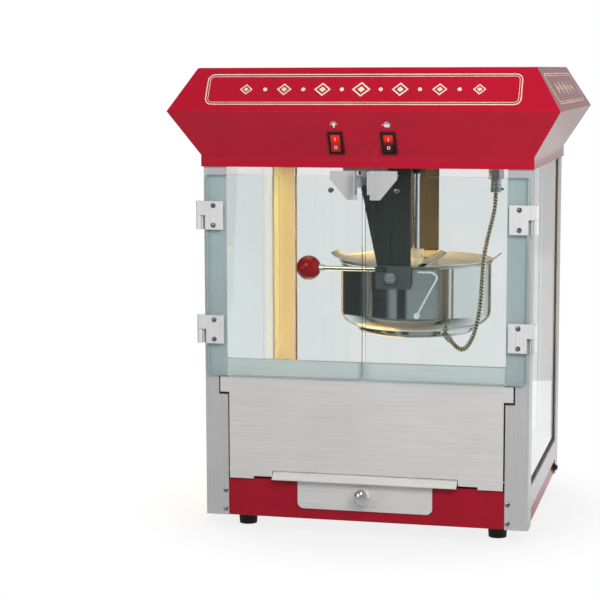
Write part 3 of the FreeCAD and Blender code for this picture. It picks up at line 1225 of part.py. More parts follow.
failed = [obj.Label for obj in doc.Objects if {"Invalid", "Error"} & set(obj.State)]
failed += [part.Label for part in SUBPARTS if part.Shape.isNull() or not part.Shape.isValid()]
if failed:
    raise RuntimeError("not built: " + ", ".join(failed))
os.makedirs("parts", exist_ok=True)
for part in SUBPARTS:
    part.Shape.exportStep(f"parts/{part.Label}.step")
print(len(SUBPARTS), "sub-parts")
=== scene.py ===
import math
from collections import namedtuple
from functools import partial

import bmesh
import bpy
from mathutils import Euler, Matrix, Vector


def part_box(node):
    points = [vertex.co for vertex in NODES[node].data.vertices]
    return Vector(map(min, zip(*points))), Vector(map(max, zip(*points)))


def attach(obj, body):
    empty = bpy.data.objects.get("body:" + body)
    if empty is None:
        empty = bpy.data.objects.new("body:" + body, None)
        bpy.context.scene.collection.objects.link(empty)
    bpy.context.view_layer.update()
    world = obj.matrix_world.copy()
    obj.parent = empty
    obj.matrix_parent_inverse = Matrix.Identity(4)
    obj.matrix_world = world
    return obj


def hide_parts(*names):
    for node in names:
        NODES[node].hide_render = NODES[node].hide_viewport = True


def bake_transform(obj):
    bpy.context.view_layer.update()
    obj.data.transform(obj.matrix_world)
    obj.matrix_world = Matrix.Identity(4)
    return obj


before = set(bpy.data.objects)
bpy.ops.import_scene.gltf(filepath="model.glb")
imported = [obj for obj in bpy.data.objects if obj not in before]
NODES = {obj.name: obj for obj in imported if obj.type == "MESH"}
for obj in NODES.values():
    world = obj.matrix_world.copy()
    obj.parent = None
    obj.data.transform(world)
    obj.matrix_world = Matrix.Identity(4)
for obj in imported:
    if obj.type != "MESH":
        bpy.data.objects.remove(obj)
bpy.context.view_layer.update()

# Lengths are in metres and angles in degrees, unless a comment says otherwise.

# Camera, as the photograph was taken; lens and sensor are in millimetres
CAMERA_AT = (0.4595, -2.4079, 0.5954)
CAMERA_YAW = 13.719
CAMERA_PITCH = -7.223
CAMERA_ROLL = -0.187
CAMERA_LENS = 108.69
CAMERA_SENSOR = 36

# Conduit: its route from the ceiling gland to the heater cover, and its tube
CONDUIT_ROUTE = [
    (0.154, -0.095, 0.440), (0.154, -0.095, 0.425), (0.1496, -0.096, 0.402), (0.1425, -0.097, 0.374),
    (0.1383, -0.0975, 0.345), (0.1373, -0.0975, 0.315), (0.135, -0.0965, 0.287), (0.130, -0.0945, 0.263),
    (0.123, -0.0915, 0.2445), (0.1145, -0.0881, 0.2340), (0.1060, -0.0838, 0.2330), (0.0987, -0.0771, 0.2379),
    (0.0923, -0.0695, 0.2426),
]
CONDUIT_R = 0.00325
CONDUIT_SIDES = 24
CONDUIT_SMOOTH = 60
LINE_STEPS = 24

# Its wound ribs: depth of the grooves, pitch, rings to a rib, and how steep and how narrow a rib is
RIB_DEEP = 0.0011
RIB_PITCH = 0.0042
RIB_RINGS = 8
RIB_STEEP = 2.4
RIB_NARROW = 0.8

# Canopy: half sizes and heights of its folds, as built
SKIRT = (0.2125, 0.1855, 0.489)
RIDGE = (0.247, 0.220, 0.545)
ROOF = (0.2144, 0.1874, 0.599)

# Rocker switches: centre of each bezel from the middle, and the rocker's pivot as (y, z), its tilt in
# radians, the reach and height of its ends, and the height of the valley between them
SWITCHES = {"light": -0.0335, "kettle": 0.0335}
ROCKER_PIVOT = (-0.193445, 0.507602)
ROCKER_TILT = math.radians(-9)
ROCKER_END = (0.0112, 0.0072)
ROCKER_VALLEY = 0.0056

# Heights between which a rocker's lens turns from its lower to its upper colour, and from dim to lit
LENS_SPLIT = (0.5068, 0.508)
LENS_LIT = (0.502, 0.514)

# Screws: head, shank, nut and cross recess. The shares are how much of the head's height is domed, how much
# of the shank's radius is left at its tip, and how much shallower the recess is at its ends
HEAD_R = 0.0032
HEAD_H = 0.0018
DOME_SHARE = 0.65
SHANK_R = 0.002
SHANK_TIP = 0.0005
TIP_SHARE = 0.6
NUT_R = 0.0028
NUT_H = 0.0022
CROSS_WIDE = 0.0009
CROSS_REACH = 0.0021
CROSS_DEEP = 0.0009
CROSS_SHARE = 0.4

# Shares by which the points of a built screw are told to be on its head, past its shank or at its end
NEARLY = 0.9
PAST = 1.1

# How finely the screws are cut, and how far each recess is turned, in radians
SCREW_SIDES = 48
HEAD_RINGS = 12
FIRST_TURN = 0.3
NEXT_TURN = 0.8
SCREW_SETS = {"left_door_screws": "left_door", "right_door_screws": "right_door", "cabinet_screws": "cabinet"}

# Slim seals round the glass: their width, and the x, y and z ranges of a dark strip behind the slit
# beside the front panel, which is painted shade in the slit
BEAD = 0.0025
SLIT_SHADE_STRIP = ((0.172, 0.198), (-0.1808, -0.1793), (0.0815, 0.2034))

# Ferrule on the handle rod: distances from the ball's centre, and radii
ROD_R = 0.00325
FERRULE = [
    (0.0146, ROD_R), (0.0146, 0.0052), (0.0168, 0.0052), (0.0176, 0.0046), (0.0202, 0.0046), (0.0210, 0.0040),
    (0.0210, ROD_R),
]
FERRULE_SIDES = 32

# Screws and ferrule are smooth where they turn by less than this
SMALL_SMOOTH = 30

# Print on the canopy and the switches: how far it stands out of, and is sunk in, the surface
PRINT_RISE = 0.00015
PRINT_SUNK = -0.00005

# Canopy trim: for each face the way it looks as (x, y), its length, and the number of marks in its row
TRIM_FACES = {"front": ((0, -1), 0.398, 13), "left": ((-1, 0), 0.336, 9), "right": ((1, 0), 0.336, 9)}
# The outer and inner edge of each pinstripe: how much shorter than the face's length, its height, and its
# corner radius
TRIM_STRIPES = [
    ((0, 0.044, 0.009), (0.0026, 0.0414, 0.0077)),
    ((0.0066, 0.0374, 0.0057), (0.0080, 0.0360, 0.0050)),
]
TRIM_PITCH = 0.0245
TRIM_SHRINK = 0.05
LOZENGE_OUTER = (0.0235, 0.021)
LOZENGE_INNER = (0.0175, 0.0156)
LOZENGE_CORE = (0.0095, 0.0085)
TRIM_DOT = 0.0052

# Signs over the switches: their height on the slope from its middle
SIGN_RISE = 0.0135
# Lamp sign: the bulb's height and size, the (height, width, tall, corner) of its caps, and its rays
BULB_RISE = 0.0008
BULB_SIZE = (0.0048, 0.0050)
BULB_CAPS = [(-0.0024, 0.0022, 0.0016, 0.0003), (-0.0038, 0.0018, 0.0006, 0.0002)]
RAY_NEAR = 0.0034
RAY_FAR = 0.0049
RAY_HALF = 0.00032
RAY_ANGLES = (0, 45, 90, 135, 180)
# Kettle sign: the bowl's outline, the (along, height, width) of its lid and handle, and three dots
BOWL = [
    (-0.0036, 0.0006), (-0.0034, -0.0020), (-0.0024, -0.0034), (0.0024, -0.0034), (0.0034, -0.0020),
    (0.0036, 0.0006),
]
BOWL_BARS = [(0, 0.0013, 0.0086), (-0.0055, -0.0002, 0.0026)]
BAR_TALL = 0.0007
SIGN_CORNER = 0.0003
STEAM_DOTS = [(-0.0019, 0.0030), (0.0, 0.0041), (0.0019, 0.0030)]
STEAM_DOT = 0.0014
# Rocker marks: width and height of the stroke, and outer and inner width of the ring
ON_STROKE = (0.0009, 0.0048)
OFF_RING = (0.0042, 0.0028)

# Steps of a rounded print: all round an oval and a small dot, and in a corner and a small corner
OVAL_STEPS = 28
DOT_STEPS = 14
CORNER_STEPS = 6
SMALL_STEPS = 2

# Light from all round, and the mirrored room above and below eye level: degrees from straight ahead of the
# doors, positive to the right, and how bright the room is there
EVEN_LIGHT = 0.3
ROOM_HIGH = [
    (-180, 0.5), (-156, 0.8), (-146, 0.06), (-60, 0.05), (-20, 0.06), (8, 0.09), (30, 0.13), (54, 0.15),
    (63, 1.0), (130, 1.0), (155, 0.5), (180, 0.5),
]
ROOM_LOW = [
    (-180, 0.62), (-156, 0.8), (-146, 0.06), (-84, 0.05), (-77, 0.22), (-70, 0.05), (-36, 0.05), (-28, 0.4),
    (-20, 0.4), (-17.5, 0.06), (-6, 0.06), (-3, 0.42), (40, 0.42), (46, 0.22), (56, 0.22), (63, 1.0),
    (130, 1.0), (155, 0.62), (180, 0.62),
]
# Rises, as sines, over which the low room gives way to the high one, and over which the room dims upwards
ROOM_EDGE = (-0.105, -0.095)
ROOM_DIMS = (-0.1, 0.09)
ROOM_DIM = 0.62

# Floor: its disc, its two greys, the distances over which its own white takes over and from what share, and
# the depths over which its mirror image goes from a dim table to white
FLOOR_R = 1.1
FLOOR_SIDES = 96
FLOOR_GREYS = ((0.6, 0.6, 0.6), (0.64, 0.64, 0.64))
FLOOR_FADE = (0.24, 0.36)
FLOOR_SHARE = 0.84
TABLE_FADE = (-0.3, 0.25)
TABLE_DIM = 0.18

# Lamps: place, the point it faces, width, watts, colour, and the kinds of ray that don't see it; and the
# spread of those that aren't left wide
WHITE = (1, 1, 1)
LAMPS = {
    "key": ((0.7, -1.3, 1.0), (0, -0.1, 0.35), 0.7, 12.5, WHITE, ["glossy"]),
    "front_left": ((-1.7, -1.9, 0.75), (0, -0.18, 0.25), 1.1, 5, WHITE, []),
    "right": ((1.9, -0.3, 0.9), (0.2, 0, 0.3), 1.0, 7, WHITE, ["glossy"]),
    "back": ((0.2, 1.3, 2.0), (0, 0, 0.3), 1.0, 8, WHITE, []),
    "spark": ((-0.35, -1.5, 1.25), (-0.05, -0.1, 0.33), 0.45, 4, WHITE, []),
    "cabinet_lamp": ((-0.11, 0.06, 0.472), (-0.17, 0.135, 0.3), 0.05, 2.7, (1.0, 0.66, 0.2),
                     ["transmission"]),
    "kettle_lamp": ((-0.08, 0.05, 0.468), (0.05, 0.07, 0.36), 0.04, 0.6, (1.0, 0.62, 0.24),
                    ["transmission"]),
    "cabinet_glow": ((-0.12, 0.07, 0.2), (-0.2, 0.17, 0.3), 0.06, 0.4, (1.0, 0.56, 0.18),
                     ["transmission", "glossy"]),
}
NARROW_LAMPS = {"cabinet_lamp": 110, "kettle_lamp": 110}

# Points nearer than this are one point
WELD = 0.00001

# Eased edges: the turn below which faces are one, the turn above which an edge is eased, and steps across it
FLAT_TURN = 1
EDGE_TURN = 40
EDGE_STEPS = 2


# Shader pieces

# Where most of a noise lies
NOISE_LOW = 0.3
NOISE_HIGH = 0.7

# Sockets of a colour mix, which have the same names as those for numbers
MIX_INPUTS = (0, 6, 7)
MIX_RESULT = 2


def tree_of(name):
    """A new material, its node tree and its main shader."""
    material = bpy.data.materials.new(name)
    material.use_nodes = True
    return material, material.node_tree, material.node_tree.nodes["Principled BSDF"]


def join(tree, value, socket):
    """Link a socket to another, or set it to a plain value."""
    if isinstance(value, bpy.types.NodeSocket):
        tree.links.new(value, socket)
    else:
        socket.default_value = value


def node(tree, kind, sockets=None, **values):
    """A node with its inputs linked or set by socket name or number."""
    made = tree.nodes.new(kind)
    for key, value in values.items():
        setattr(made, key, value)
    for key, value in (sockets or {}).items():
        join(tree, value, made.inputs[key])
    return made


def dress(tree, shader, **sockets):
    """Link or set a shader's inputs, by socket names with _ for spaces."""
    for name, value in sockets.items():
        join(tree, value, shader.inputs[name.replace("_", " ")])


def math_node(tree, operation, first, second=0.0):
    """The result of a sum on two numbers."""
    return node(tree, "ShaderNodeMath", {0: first, 1: second}, operation=operation).outputs[0]


def mix_shaders(tree, share, first, second):
    """The first shader, or as much of the second as share says."""
    return node(tree, "ShaderNodeMixShader", {0: share, 1: first.outputs[0], 2: second.outputs[0]})


def own_place(tree):
    """The place on the surface, in the object's own metres."""
    return node(tree, "ShaderNodeTexCoord").outputs["Object"]


def grain(tree, scale, detail=3.0, rough=0.6, stretch=(1, 1, 1)):
    """Noise in the object's own metres, drawn out where stretch is small."""
    mapped = node(tree, "ShaderNodeMapping", {"Vector": own_place(tree), "Scale": stretch}).outputs["Vector"]
    sockets = {"Vector": mapped, "Scale": scale, "Detail": detail, "Roughness": rough}
    return node(tree, "ShaderNodeTexNoise", sockets).outputs["Fac"]


def spread(tree, value, low, high, start=NOISE_LOW, end=NOISE_HIGH):
    """A factor between start and end moved to low and high."""
    sockets = {"Value": value, "From Min": start, "From Max": end, "To Min": low, "To Max": high}
    return node(tree, "ShaderNodeMapRange", sockets).outputs["Result"]


def tint(tree, factor, dark, light):
    """A colour between two."""
    made = node(tree, "ShaderNodeMix", data_type="RGBA")
    for number, value in zip(MIX_INPUTS, (factor, dark, light)):
        join(tree, (*value, 1) if isinstance(value, tuple) else value, made.inputs[number])
    return made.outputs[MIX_RESULT]


def shade(colour, share):
    """A colour made darker or lighter."""
    return tuple(c * share for c in colour)


def uneven(tree, colour, noise, low, high):
    """A colour that wanders between two shades of itself."""
    return tint(tree, spread(tree, noise, 0, 1), shade(colour, low), shade(colour, high))


def bump(tree, shader, height, strength, depth):
    """A fine relief under the shader."""
    made = node(tree, "ShaderNodeBump", {"Height": height, "Strength": strength, "Distance": depth})
    dress(tree, shader, Normal=made.outputs["Normal"])


def any_ray(tree, *kinds):
    """1 for these kinds of ray, 0 for the rest."""
    path = node(tree, "ShaderNodeLightPath").outputs
    found = path[kinds[0]]
    for kind in kinds[1:]:
        found = math_node(tree, "MAXIMUM", found, path[kind])
    return found


# Finishes

def enamel(name, colour, coat=1.0):
    """Baked gloss paint over sheet: a little uneven, with fine orange peel under the gloss."""
    material, tree, shader = tree_of(name)
    dress(tree, shader,
          Base_Color=uneven(tree, colour, grain(tree, scale=9, detail=4), low=0.93, high=1.06),
          Roughness=spread(tree, grain(tree, scale=55, detail=5), 0.38, 0.52),
          Specular_IOR_Level=0.15, Coat_Weight=coat, Coat_Roughness=0.05, Coat_IOR=1.5)
    bump(tree, shader, grain(tree, scale=900, detail=2), strength=0.05, depth=0.0002)
    return material


def brushed(name, colour, stretch, rough, lines=0.25, scale=700, contrast=0.1, metal=1.0):
    """Metal with fine parallel lines; stretch is small along the lines."""
    material, tree, shader = tree_of(name)
    fine = grain(tree, scale=scale, detail=4, rough=0.7, stretch=stretch)
    broad = grain(tree, scale=7, detail=3)
    mixed = math_node(tree, "ADD", spread(tree, fine, 0, 0.6), spread(tree, broad, 0, 0.4))
    dress(tree, shader,
          Base_Color=tint(tree, mixed, shade(colour, 1 - contrast), shade(colour, 1 + contrast)),
          Roughness=spread(tree, fine, *rough),
          Metallic=metal)
    bump(tree, shader, fine, strength=lines, depth=0.00004)
    return material


def polished(name, colour, rough=(0.06, 0.16), scale=60, metal=1.0):
    """Bright metal with faint smears."""
    material, tree, shader = tree_of(name)
    smear = grain(tree, scale=scale, detail=5, rough=0.65)
    dress(tree, shader,
          Base_Color=uneven(tree, colour, smear, low=0.93, high=1.04),
          Roughness=spread(tree, smear, *rough),
          Metallic=metal)
    return material


def wound(name, colour, groove_shade):
    """Wound metal strip: its own colour on the ribs, with painted shade in the grooves between them."""
    material, tree, shader = tree_of(name)
    ribs = node(tree, "ShaderNodeAttribute", attribute_name="rib").outputs["Fac"]
    dress(tree, shader,
          Base_Color=tint(tree, spread(tree, ribs, 0, 1, start=0.1, end=0.9), groove_shade, colour),
          Roughness=spread(tree, grain(tree, scale=400, detail=5), 0.14, 0.26),
          Metallic=1.0)
    return material


def moulded(name, colour, rough, pores, scale=1200):
    """Plastic, rubber or print with a fine skin."""
    material, tree, shader = tree_of(name)
    dress(tree, shader,
          Base_Color=uneven(tree, colour, grain(tree, scale=40, detail=4), low=0.88, high=1.1),
          Roughness=spread(tree, grain(tree, scale=160, detail=4), *rough))
    bump(tree, shader, grain(tree, scale=scale, detail=2), strength=pores, depth=0.0001)
    return material


def lit_lens(name, below):
    """Red rocker lens with a small lamp behind its upper half; below is the colour of its lower half."""
    material, tree, shader = tree_of(name)
    height = node(tree, "ShaderNodeSeparateXYZ", {0: own_place(tree)}).outputs["Z"]
    cloud = spread(tree, grain(tree, scale=300), 0, 1)
    red = tint(tree, cloud, (0.42, 0.008, 0.008), (0.55, 0.014, 0.012))
    dress(tree, shader,
          Base_Color=tint(tree, spread(tree, height, 0, 1, *LENS_SPLIT), below, red),
          Roughness=spread(tree, grain(tree, scale=200), 0.1, 0.18),
          Emission_Color=(1.0, 0.025, 0.012, 1),
          Emission_Strength=spread(tree, height, 0.02, 0.5, *LENS_LIT))
    return material


def pane(name, colour, edge, axis):
    """Float glass: clear through its faces, deeper in colour on the cut edges, with faint smears.

    axis is the direction across the pane. Lamps and reflected light pass straight through.
    """
    material, tree, shader = tree_of(name)
    normal = node(tree, "ShaderNodeNewGeometry").outputs["True Normal"]
    along = node(tree, "ShaderNodeVectorMath", {0: normal, 1: axis}, operation="DOT_PRODUCT").outputs["Value"]
    flat = spread(tree, math_node(tree, "ABSOLUTE", along), 0, 1, start=0.4, end=0.9)
    shown = tint(tree, flat, edge, colour)
    smear = grain(tree, scale=14, detail=5, rough=0.7, stretch=(1, 1, 0.35))
    dress(tree, shader,
          Base_Color=shown,
          Roughness=spread(tree, smear, 0.0, 0.03, start=0.4, end=0.75),
          Transmission_Weight=1.0, IOR=1.5)
    through = node(tree, "ShaderNodeBsdfTransparent", {"Color": shown})
    mix = mix_shaders(tree, any_ray(tree, "Is Shadow Ray", "Is Reflection Ray"), shader, through)
    dress(tree, tree.nodes["Material Output"], Surface=mix.outputs[0])
    return material


def lit_bulb(name):
    """Frosted bulb, lit from inside."""
    material, tree, shader = tree_of(name)
    frost = grain(tree, scale=300)
    dress(tree, shader,
          Base_Color=tint(tree, spread(tree, frost, 0, 1), (0.95, 0.8, 0.55), (1.0, 0.9, 0.7)),
          Roughness=spread(tree, frost, 0.3, 0.5),
          Emission_Color=(1.0, 0.72, 0.38, 1), Emission_Strength=2.5)
    return material


# Ways that brushed lines run: from side to side, level all round, the same but shorter, upright, from front
# to back, and none
LEVEL = (0.012, 1, 1)
CROSSWISE = (0.012, 0.012, 1)
TURNED = (0.03, 0.03, 1)
UPRIGHT = (1, 1, 0.012)
ENDWISE = (1, 0.012, 1)
NO_LINES = (1, 1, 1)

RED = (0.5, 0.006, 0.028)
# The base's red is the canopy's red made darker by this share: painted shade low on the machine
BASE_SHADE_SHARE = 0.74
CUT_EDGE = (0.2, 0.4, 0.38)
PRINT = {"rough": (0.4, 0.55), "pores": 0.1, "scale": 2000}
DARKENED = {"lines": 0.2, "contrast": 0.2, "metal": 0.6}

# Each finish: how it is made, its colour, and its other values
FINISHES = {
    "canopy_red": (enamel, RED, {}),
    # The base is the canopy's red with painted shade
    "base_red": (enamel, shade(RED, BASE_SHADE_SHARE), {"coat": 0.5}),
    "post_aluminium": (brushed, (0.7, 0.7, 0.71), {"stretch": UPRIGHT, "rough": (0.32, 0.46), "metal": 0.4}),
    "panel_steel": (brushed, (0.87, 0.86, 0.84), {"stretch": LEVEL, "rough": (0.34, 0.48), "metal": 0.35}),
    "rail_steel": (brushed, (0.95, 0.89, 0.87), {"stretch": LEVEL, "rough": (0.3, 0.45), "metal": 0.3}),
    "deck_steel": (brushed, (0.92, 0.92, 0.91), {"stretch": ENDWISE, "rough": (0.3, 0.45), "metal": 0.4}),
    "leaf_steel": (brushed, (0.93, 0.93, 0.94),
                   {"stretch": UPRIGHT, "rough": (0.25, 0.38), "lines": 0.15, "metal": 0.3}),
    "strike_steel": (brushed, (0.76, 0.76, 0.77),
                     {"stretch": UPRIGHT, "rough": (0.25, 0.38), "lines": 0.15, "metal": 0.4}),
    "pot_steel": (brushed, (0.66, 0.66, 0.64),
                  {"stretch": TURNED, "rough": (0.06, 0.16), "lines": 0.06, "scale": 560, "contrast": 0.06}),
    "lid_steel": (brushed, (0.86, 0.8, 0.66),
                  {"stretch": ENDWISE, "rough": (0.1, 0.22), "lines": 0.1, "metal": 0.5}),
    "dark_steel": (brushed, (0.09, 0.088, 0.086), {"stretch": UPRIGHT, "rough": (0.25, 0.4), **DARKENED}),
    "hub_steel": (brushed, (0.18, 0.18, 0.18), {"stretch": LEVEL, "rough": (0.3, 0.45), **DARKENED}),
    "plain_steel": (brushed, (0.5, 0.5, 0.5),
                    {"stretch": CROSSWISE, "rough": (0.2, 0.34), "lines": 0.15, "metal": 0.6}),
    "cast_metal": (brushed, (0.3, 0.3, 0.31),
                   {"stretch": NO_LINES, "rough": (0.4, 0.6), "lines": 0.5, "scale": 420, "contrast": 0.15}),
    "bright_steel": (polished, (0.78, 0.78, 0.8), {}),
    "chrome": (polished, (0.93, 0.93, 0.95), {"rough": (0.02, 0.07), "scale": 90, "metal": 0.75}),
    "screw_steel": (polished, (0.6, 0.6, 0.61), {"rough": (0.12, 0.25), "scale": 500}),
    # The conduit's second colour is painted shade in the grooves between its ribs
    "conduit_steel": (wound, (0.98, 0.9, 0.76), {"groove_shade": (0.07, 0.05, 0.03)}),
    "door_glass": (pane, (0.925, 0.995, 0.995), {"edge": (0.12, 0.28, 0.28), "axis": (0, 1, 0)}),
    "side_glass": (pane, (0.95, 0.975, 0.98), {"edge": CUT_EDGE, "axis": (1, 0, 0)}),
    "rear_glass": (pane, (0.85, 0.84, 0.835), {"edge": CUT_EDGE, "axis": (0, 1, 0)}),
    "rubber": (moulded, (0.012, 0.011, 0.011), {"rough": (0.5, 0.75), "pores": 0.5}),
    "seal": (moulded, (0.05, 0.042, 0.036), {"rough": (0.45, 0.65), "pores": 0.3}),
    "black_plastic": (moulded, (0.014, 0.014, 0.015), {"rough": (0.28, 0.42), "pores": 0.15}),
    "red_ball": (moulded, (0.34, 0.005, 0.008), {"rough": (0.05, 0.12), "pores": 0.01, "scale": 300}),
    "porcelain": (moulded, (0.75, 0.73, 0.69), {"rough": (0.15, 0.3), "pores": 0.05}),
    "cream_print": (moulded, (0.82, 0.76, 0.62), PRINT),
    "white_print": (moulded, (0.85, 0.85, 0.85), PRINT),
}
MATERIALS = {name: make(name, colour, **values) for name, (make, colour, values) in FINISHES.items()}
MATERIALS["red_lens"] = lit_lens("red_lens", below=(0.48, 0.011, 0.01))
MATERIALS["half_lens"] = lit_lens("half_lens", below=(0.03, 0.006, 0.006))
MATERIALS["warm_bulb"] = lit_bulb("warm_bulb")

# The built pieces that each finish is for
LOOKS = {
    "canopy_red": ["canopy_shell"],
    "base_red": ["base_pan"],
    "post_aluminium": ["front_left_post", "front_right_post", "rear_left_post", "rear_right_post",
                       "left_side_rail", "right_side_rail"],
    "panel_steel": ["front_panel", "drawer_front", "rear_rail"],
    "rail_steel": ["front_cross_rail"],
    "deck_steel": ["deck_plate", "drawer_tray", "drawer_runners", "ceiling_plate"],
    "leaf_steel": ["left_door_leaves", "right_door_leaves", "post_hinge_leaves", "latch_wire"],
    "strike_steel": ["left_strike", "right_strike"],
    "pot_steel": ["kettle_pot", "heater_cover"],
    "lid_steel": ["lid_left", "lid_right", "lid_bridge"],
    "dark_steel": ["kettle_yoke", "heater_plate"],
    "hub_steel": ["handle_hub"],
    "plain_steel": ["trunnion_pins", "stirrer_blades", "door_catch", "conduit_gland", "kettle_gland"],
    "bright_steel": ["handle_rod", "hinge_pins", "stirrer_shaft"],
    "chrome": ["drawer_knob"],
    "conduit_steel": ["conduit"],
    "cast_metal": ["gear_motor"],
    "door_glass": ["left_door_glass", "right_door_glass"],
    "side_glass": ["left_glass", "right_glass"],
    "rear_glass": ["rear_glass"],
    "rubber": ["rubber_feet"],
    "seal": ["glazing_seals"],
    "black_plastic": ["light_switch_frame", "kettle_switch_frame", "drive_coupling", "cord_gland"],
    "red_lens": ["light_switch_rocker"],
    "half_lens": ["kettle_switch_rocker"],
    "red_ball": ["handle_knob"],
    "porcelain": ["lamp_holder"],
    "screw_steel": ["cabinet_screws", "left_door_screws", "right_door_screws"],
    "warm_bulb": ["lamp_bulb"],
}

# Width of the eased edges on sheet and bar pieces
EASED = {
    0.0005: ["canopy_shell", "handle_hub", "kettle_yoke"],
    0.0004: ["front_left_post", "front_right_post", "rear_left_post", "rear_right_post", "base_pan",
             "drawer_front", "left_side_rail", "right_side_rail", "rear_rail", "light_switch_frame",
             "kettle_switch_frame", "light_switch_rocker", "kettle_switch_rocker", "left_door_glass",
             "right_door_glass"],
    0.0003: ["front_panel", "front_cross_rail", "left_door_leaves", "right_door_leaves", "post_hinge_leaves",
             "left_strike", "right_strike", "conduit_gland", "trunnion_pins"],
}


def ease_edges(piece, width):
    """Modifiers that round a piece's sharp edges and keep its faces flat."""
    weld = piece.modifiers.new("weld", "WELD")
    weld.merge_threshold = WELD
    whole = piece.modifiers.new("whole", "DECIMATE")
    whole.decimate_type = "DISSOLVE"
    whole.angle_limit = math.radians(FLAT_TURN)
    ease = piece.modifiers.new("ease", "BEVEL")
    ease.width = width
    ease.segments = EDGE_STEPS
    ease.limit_method = "ANGLE"
    ease.angle_limit = math.radians(EDGE_TURN)
    flat = piece.modifiers.new("flat", "WEIGHTED_NORMAL")
    flat.keep_sharp = False


def finish_nodes():
    """A finish for every built piece, and eased edges where sheet shows."""
    for look, names in LOOKS.items():
        for name in names:
            slots = NODES[name].data.materials
            slots.clear()
            slots.append(MATERIALS[look])
    for width, names in EASED.items():
        for name in names:
            ease_edges(NODES[name], width)


# Modelled pieces

def in_scene(name, data):
    """A new object in the scene."""
    made = bpy.data.objects.new(name, data)
    bpy.context.scene.collection.objects.link(made)
    return made


def mesh_of(name, build, smooth=0):
    """A mesh with what build adds to it, smooth where it turns by less than this many degrees."""
    mesh = bpy.data.meshes.new(name)
    solid = bmesh.new()
    build(solid)
    bmesh.ops.recalc_face_normals(solid, faces=solid.faces)
    solid.to_mesh(mesh)
    solid.free()
    if smooth:
        mesh.shade_smooth()
        mesh.set_sharp_from_angle(angle=math.radians(smooth))
    return mesh


def placed(name, build, look, smooth=0):
    """A new piece of the object."""
    made = in_scene(name, mesh_of(name, build, smooth))
    made.data.materials.append(MATERIALS[look])
    return made


def turns(count):
    """Even angles all round, in radians."""
    return [2 * math.pi * k / count for k in range(count)]


def band(solid, first, last):
    """Faces between two closed rings of points."""
    for k in range(len(first)):
        n = (k + 1) % len(first)
        solid.faces.new((first[k], first[n], last[n], last[k]))


def bands(solid, rings):
    """Faces between each ring of points and the next."""
    for first, last in zip(rings, rings[1:]):
        band(solid, first, last)


def corners_of(points):
    """The lowest and highest corner of some points."""
    low = Vector([min(p[i] for p in points) for i in range(3)])
    high = Vector([max(p[i] for p in points) for i in range(3)])
    return low, high


def conduit_line():
    """Points along the conduit's smooth line."""
    curve = bpy.data.curves.new("conduit_line", "CURVE")
    curve.dimensions = "3D"
    curve.resolution_u = LINE_STEPS
    line = curve.splines.new("NURBS")
    line.points.add(len(CONDUIT_ROUTE) - 1)
    for point, at in zip(line.points, CONDUIT_ROUTE):
        point.co = (*at, 1)
    line.order_u = 3
    line.use_endpoint_u = True
    holder = in_scene("conduit_line", curve)
    mesh = bpy.data.meshes.new_from_object(holder)
    points = [v.co.copy() for v in mesh.vertices]
    bpy.data.objects.remove(holder)
    bpy.data.meshes.remove(mesh)
    return points


def add_conduit():
    """Flexible metal conduit: a wound strip whose turns stand out as ribs."""
    line = conduit_line()
    lengths = [0.0]
    for before, after in zip(line, line[1:]):
        lengths.append(lengths[-1] + (after - before).length)
    total = lengths[-1]
    steps = int(total / RIB_PITCH * RIB_RINGS)

    def station(distance):
        """The point at a distance along the line, and the line's direction there."""
        i = max((i for i, d in enumerate(lengths[:-1]) if d <= distance), default=0)
        share = (distance - lengths[i]) / (lengths[i + 1] - lengths[i])
        return line[i].lerp(line[i + 1], share), (line[i + 1] - line[i]).normalized()

    def build(solid):
        rings = []
        rib = solid.verts.layers.float.new("rib")
        side = Vector((0, 1, 0))
        for number in range(steps + 1):
            distance = total * number / steps
            centre, ahead = station(distance)
            side = (side - ahead * side.dot(ahead)).normalized()
            up = ahead.cross(side)
            ring = []
            for k, angle in enumerate(turns(CONDUIT_SIDES)):
                phase = (distance / RIB_PITCH + k / CONDUIT_SIDES) % 1
                rise = min(1, max(0, RIB_STEEP * math.sin(math.pi * phase) - RIB_NARROW))
                reach = CONDUIT_R - RIB_DEEP * (1 - rise)
                vert = solid.verts.new(centre + (side * math.cos(angle) + up * math.sin(angle)) * reach)
                # The rise also tells the finish where to paint shade in the grooves
                vert[rib] = rise
                ring.append(vert)
            rings.append(ring)
        bands(solid, rings)
        solid.faces.new(rings[0])
        solid.faces.new(rings[-1])

    made = placed("flexible_conduit", build, "conduit_steel", CONDUIT_SMOOTH)
    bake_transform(made)
    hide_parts("conduit")


def islands(name):
    """The separate solids of a built node, each as its points."""
    solid = bmesh.new()
    solid.from_mesh(NODES[name].data)
    bmesh.ops.remove_doubles(solid, verts=solid.verts, dist=WELD)
    left = set(solid.verts)
    found = []
    while left:
        todo = [left.pop()]
        points = []
        while todo:
            vert = todo.pop()
            points.append(vert.co.copy())
            near = [e.other_vert(vert) for e in vert.link_edges if e.other_vert(vert) in left]
            left.difference_update(near)
            todo += near
        found.append(points)
    solid.free()
    return sorted(found, key=lambda points: tuple(round(c, 5) for c in min(points)))


def screw_pose(points):
    """The tip of a screw's head, the way it faces, the screw's length, and whether its end has a nut."""
    low, high = corners_of(points)
    middle = (low + high) / 2
    axis = max(range(3), key=lambda i: abs(high[i] - low[i] - 2 * HEAD_R))

    def reach(point):
        """How far a point is from the screw's axis."""
        away = point - middle
        away[axis] = 0
        return away.length

    wide = [p[axis] for p in points if reach(p) > NEARLY * HEAD_R]
    facing = 1 if sum(wide) / len(wide) > middle[axis] else -1
    out = Vector((0, 0, 0))
    out[axis] = facing
    tip = middle.copy()
    tip[axis] = high[axis] if facing > 0 else low[axis]
    length = high[axis] - low[axis]
    ending = [p for p in points if abs(p[axis] - tip[axis]) > NEARLY * length]
    nut = any(reach(p) > PAST * SHANK_R for p in ending)
    return tip, out, length, nut


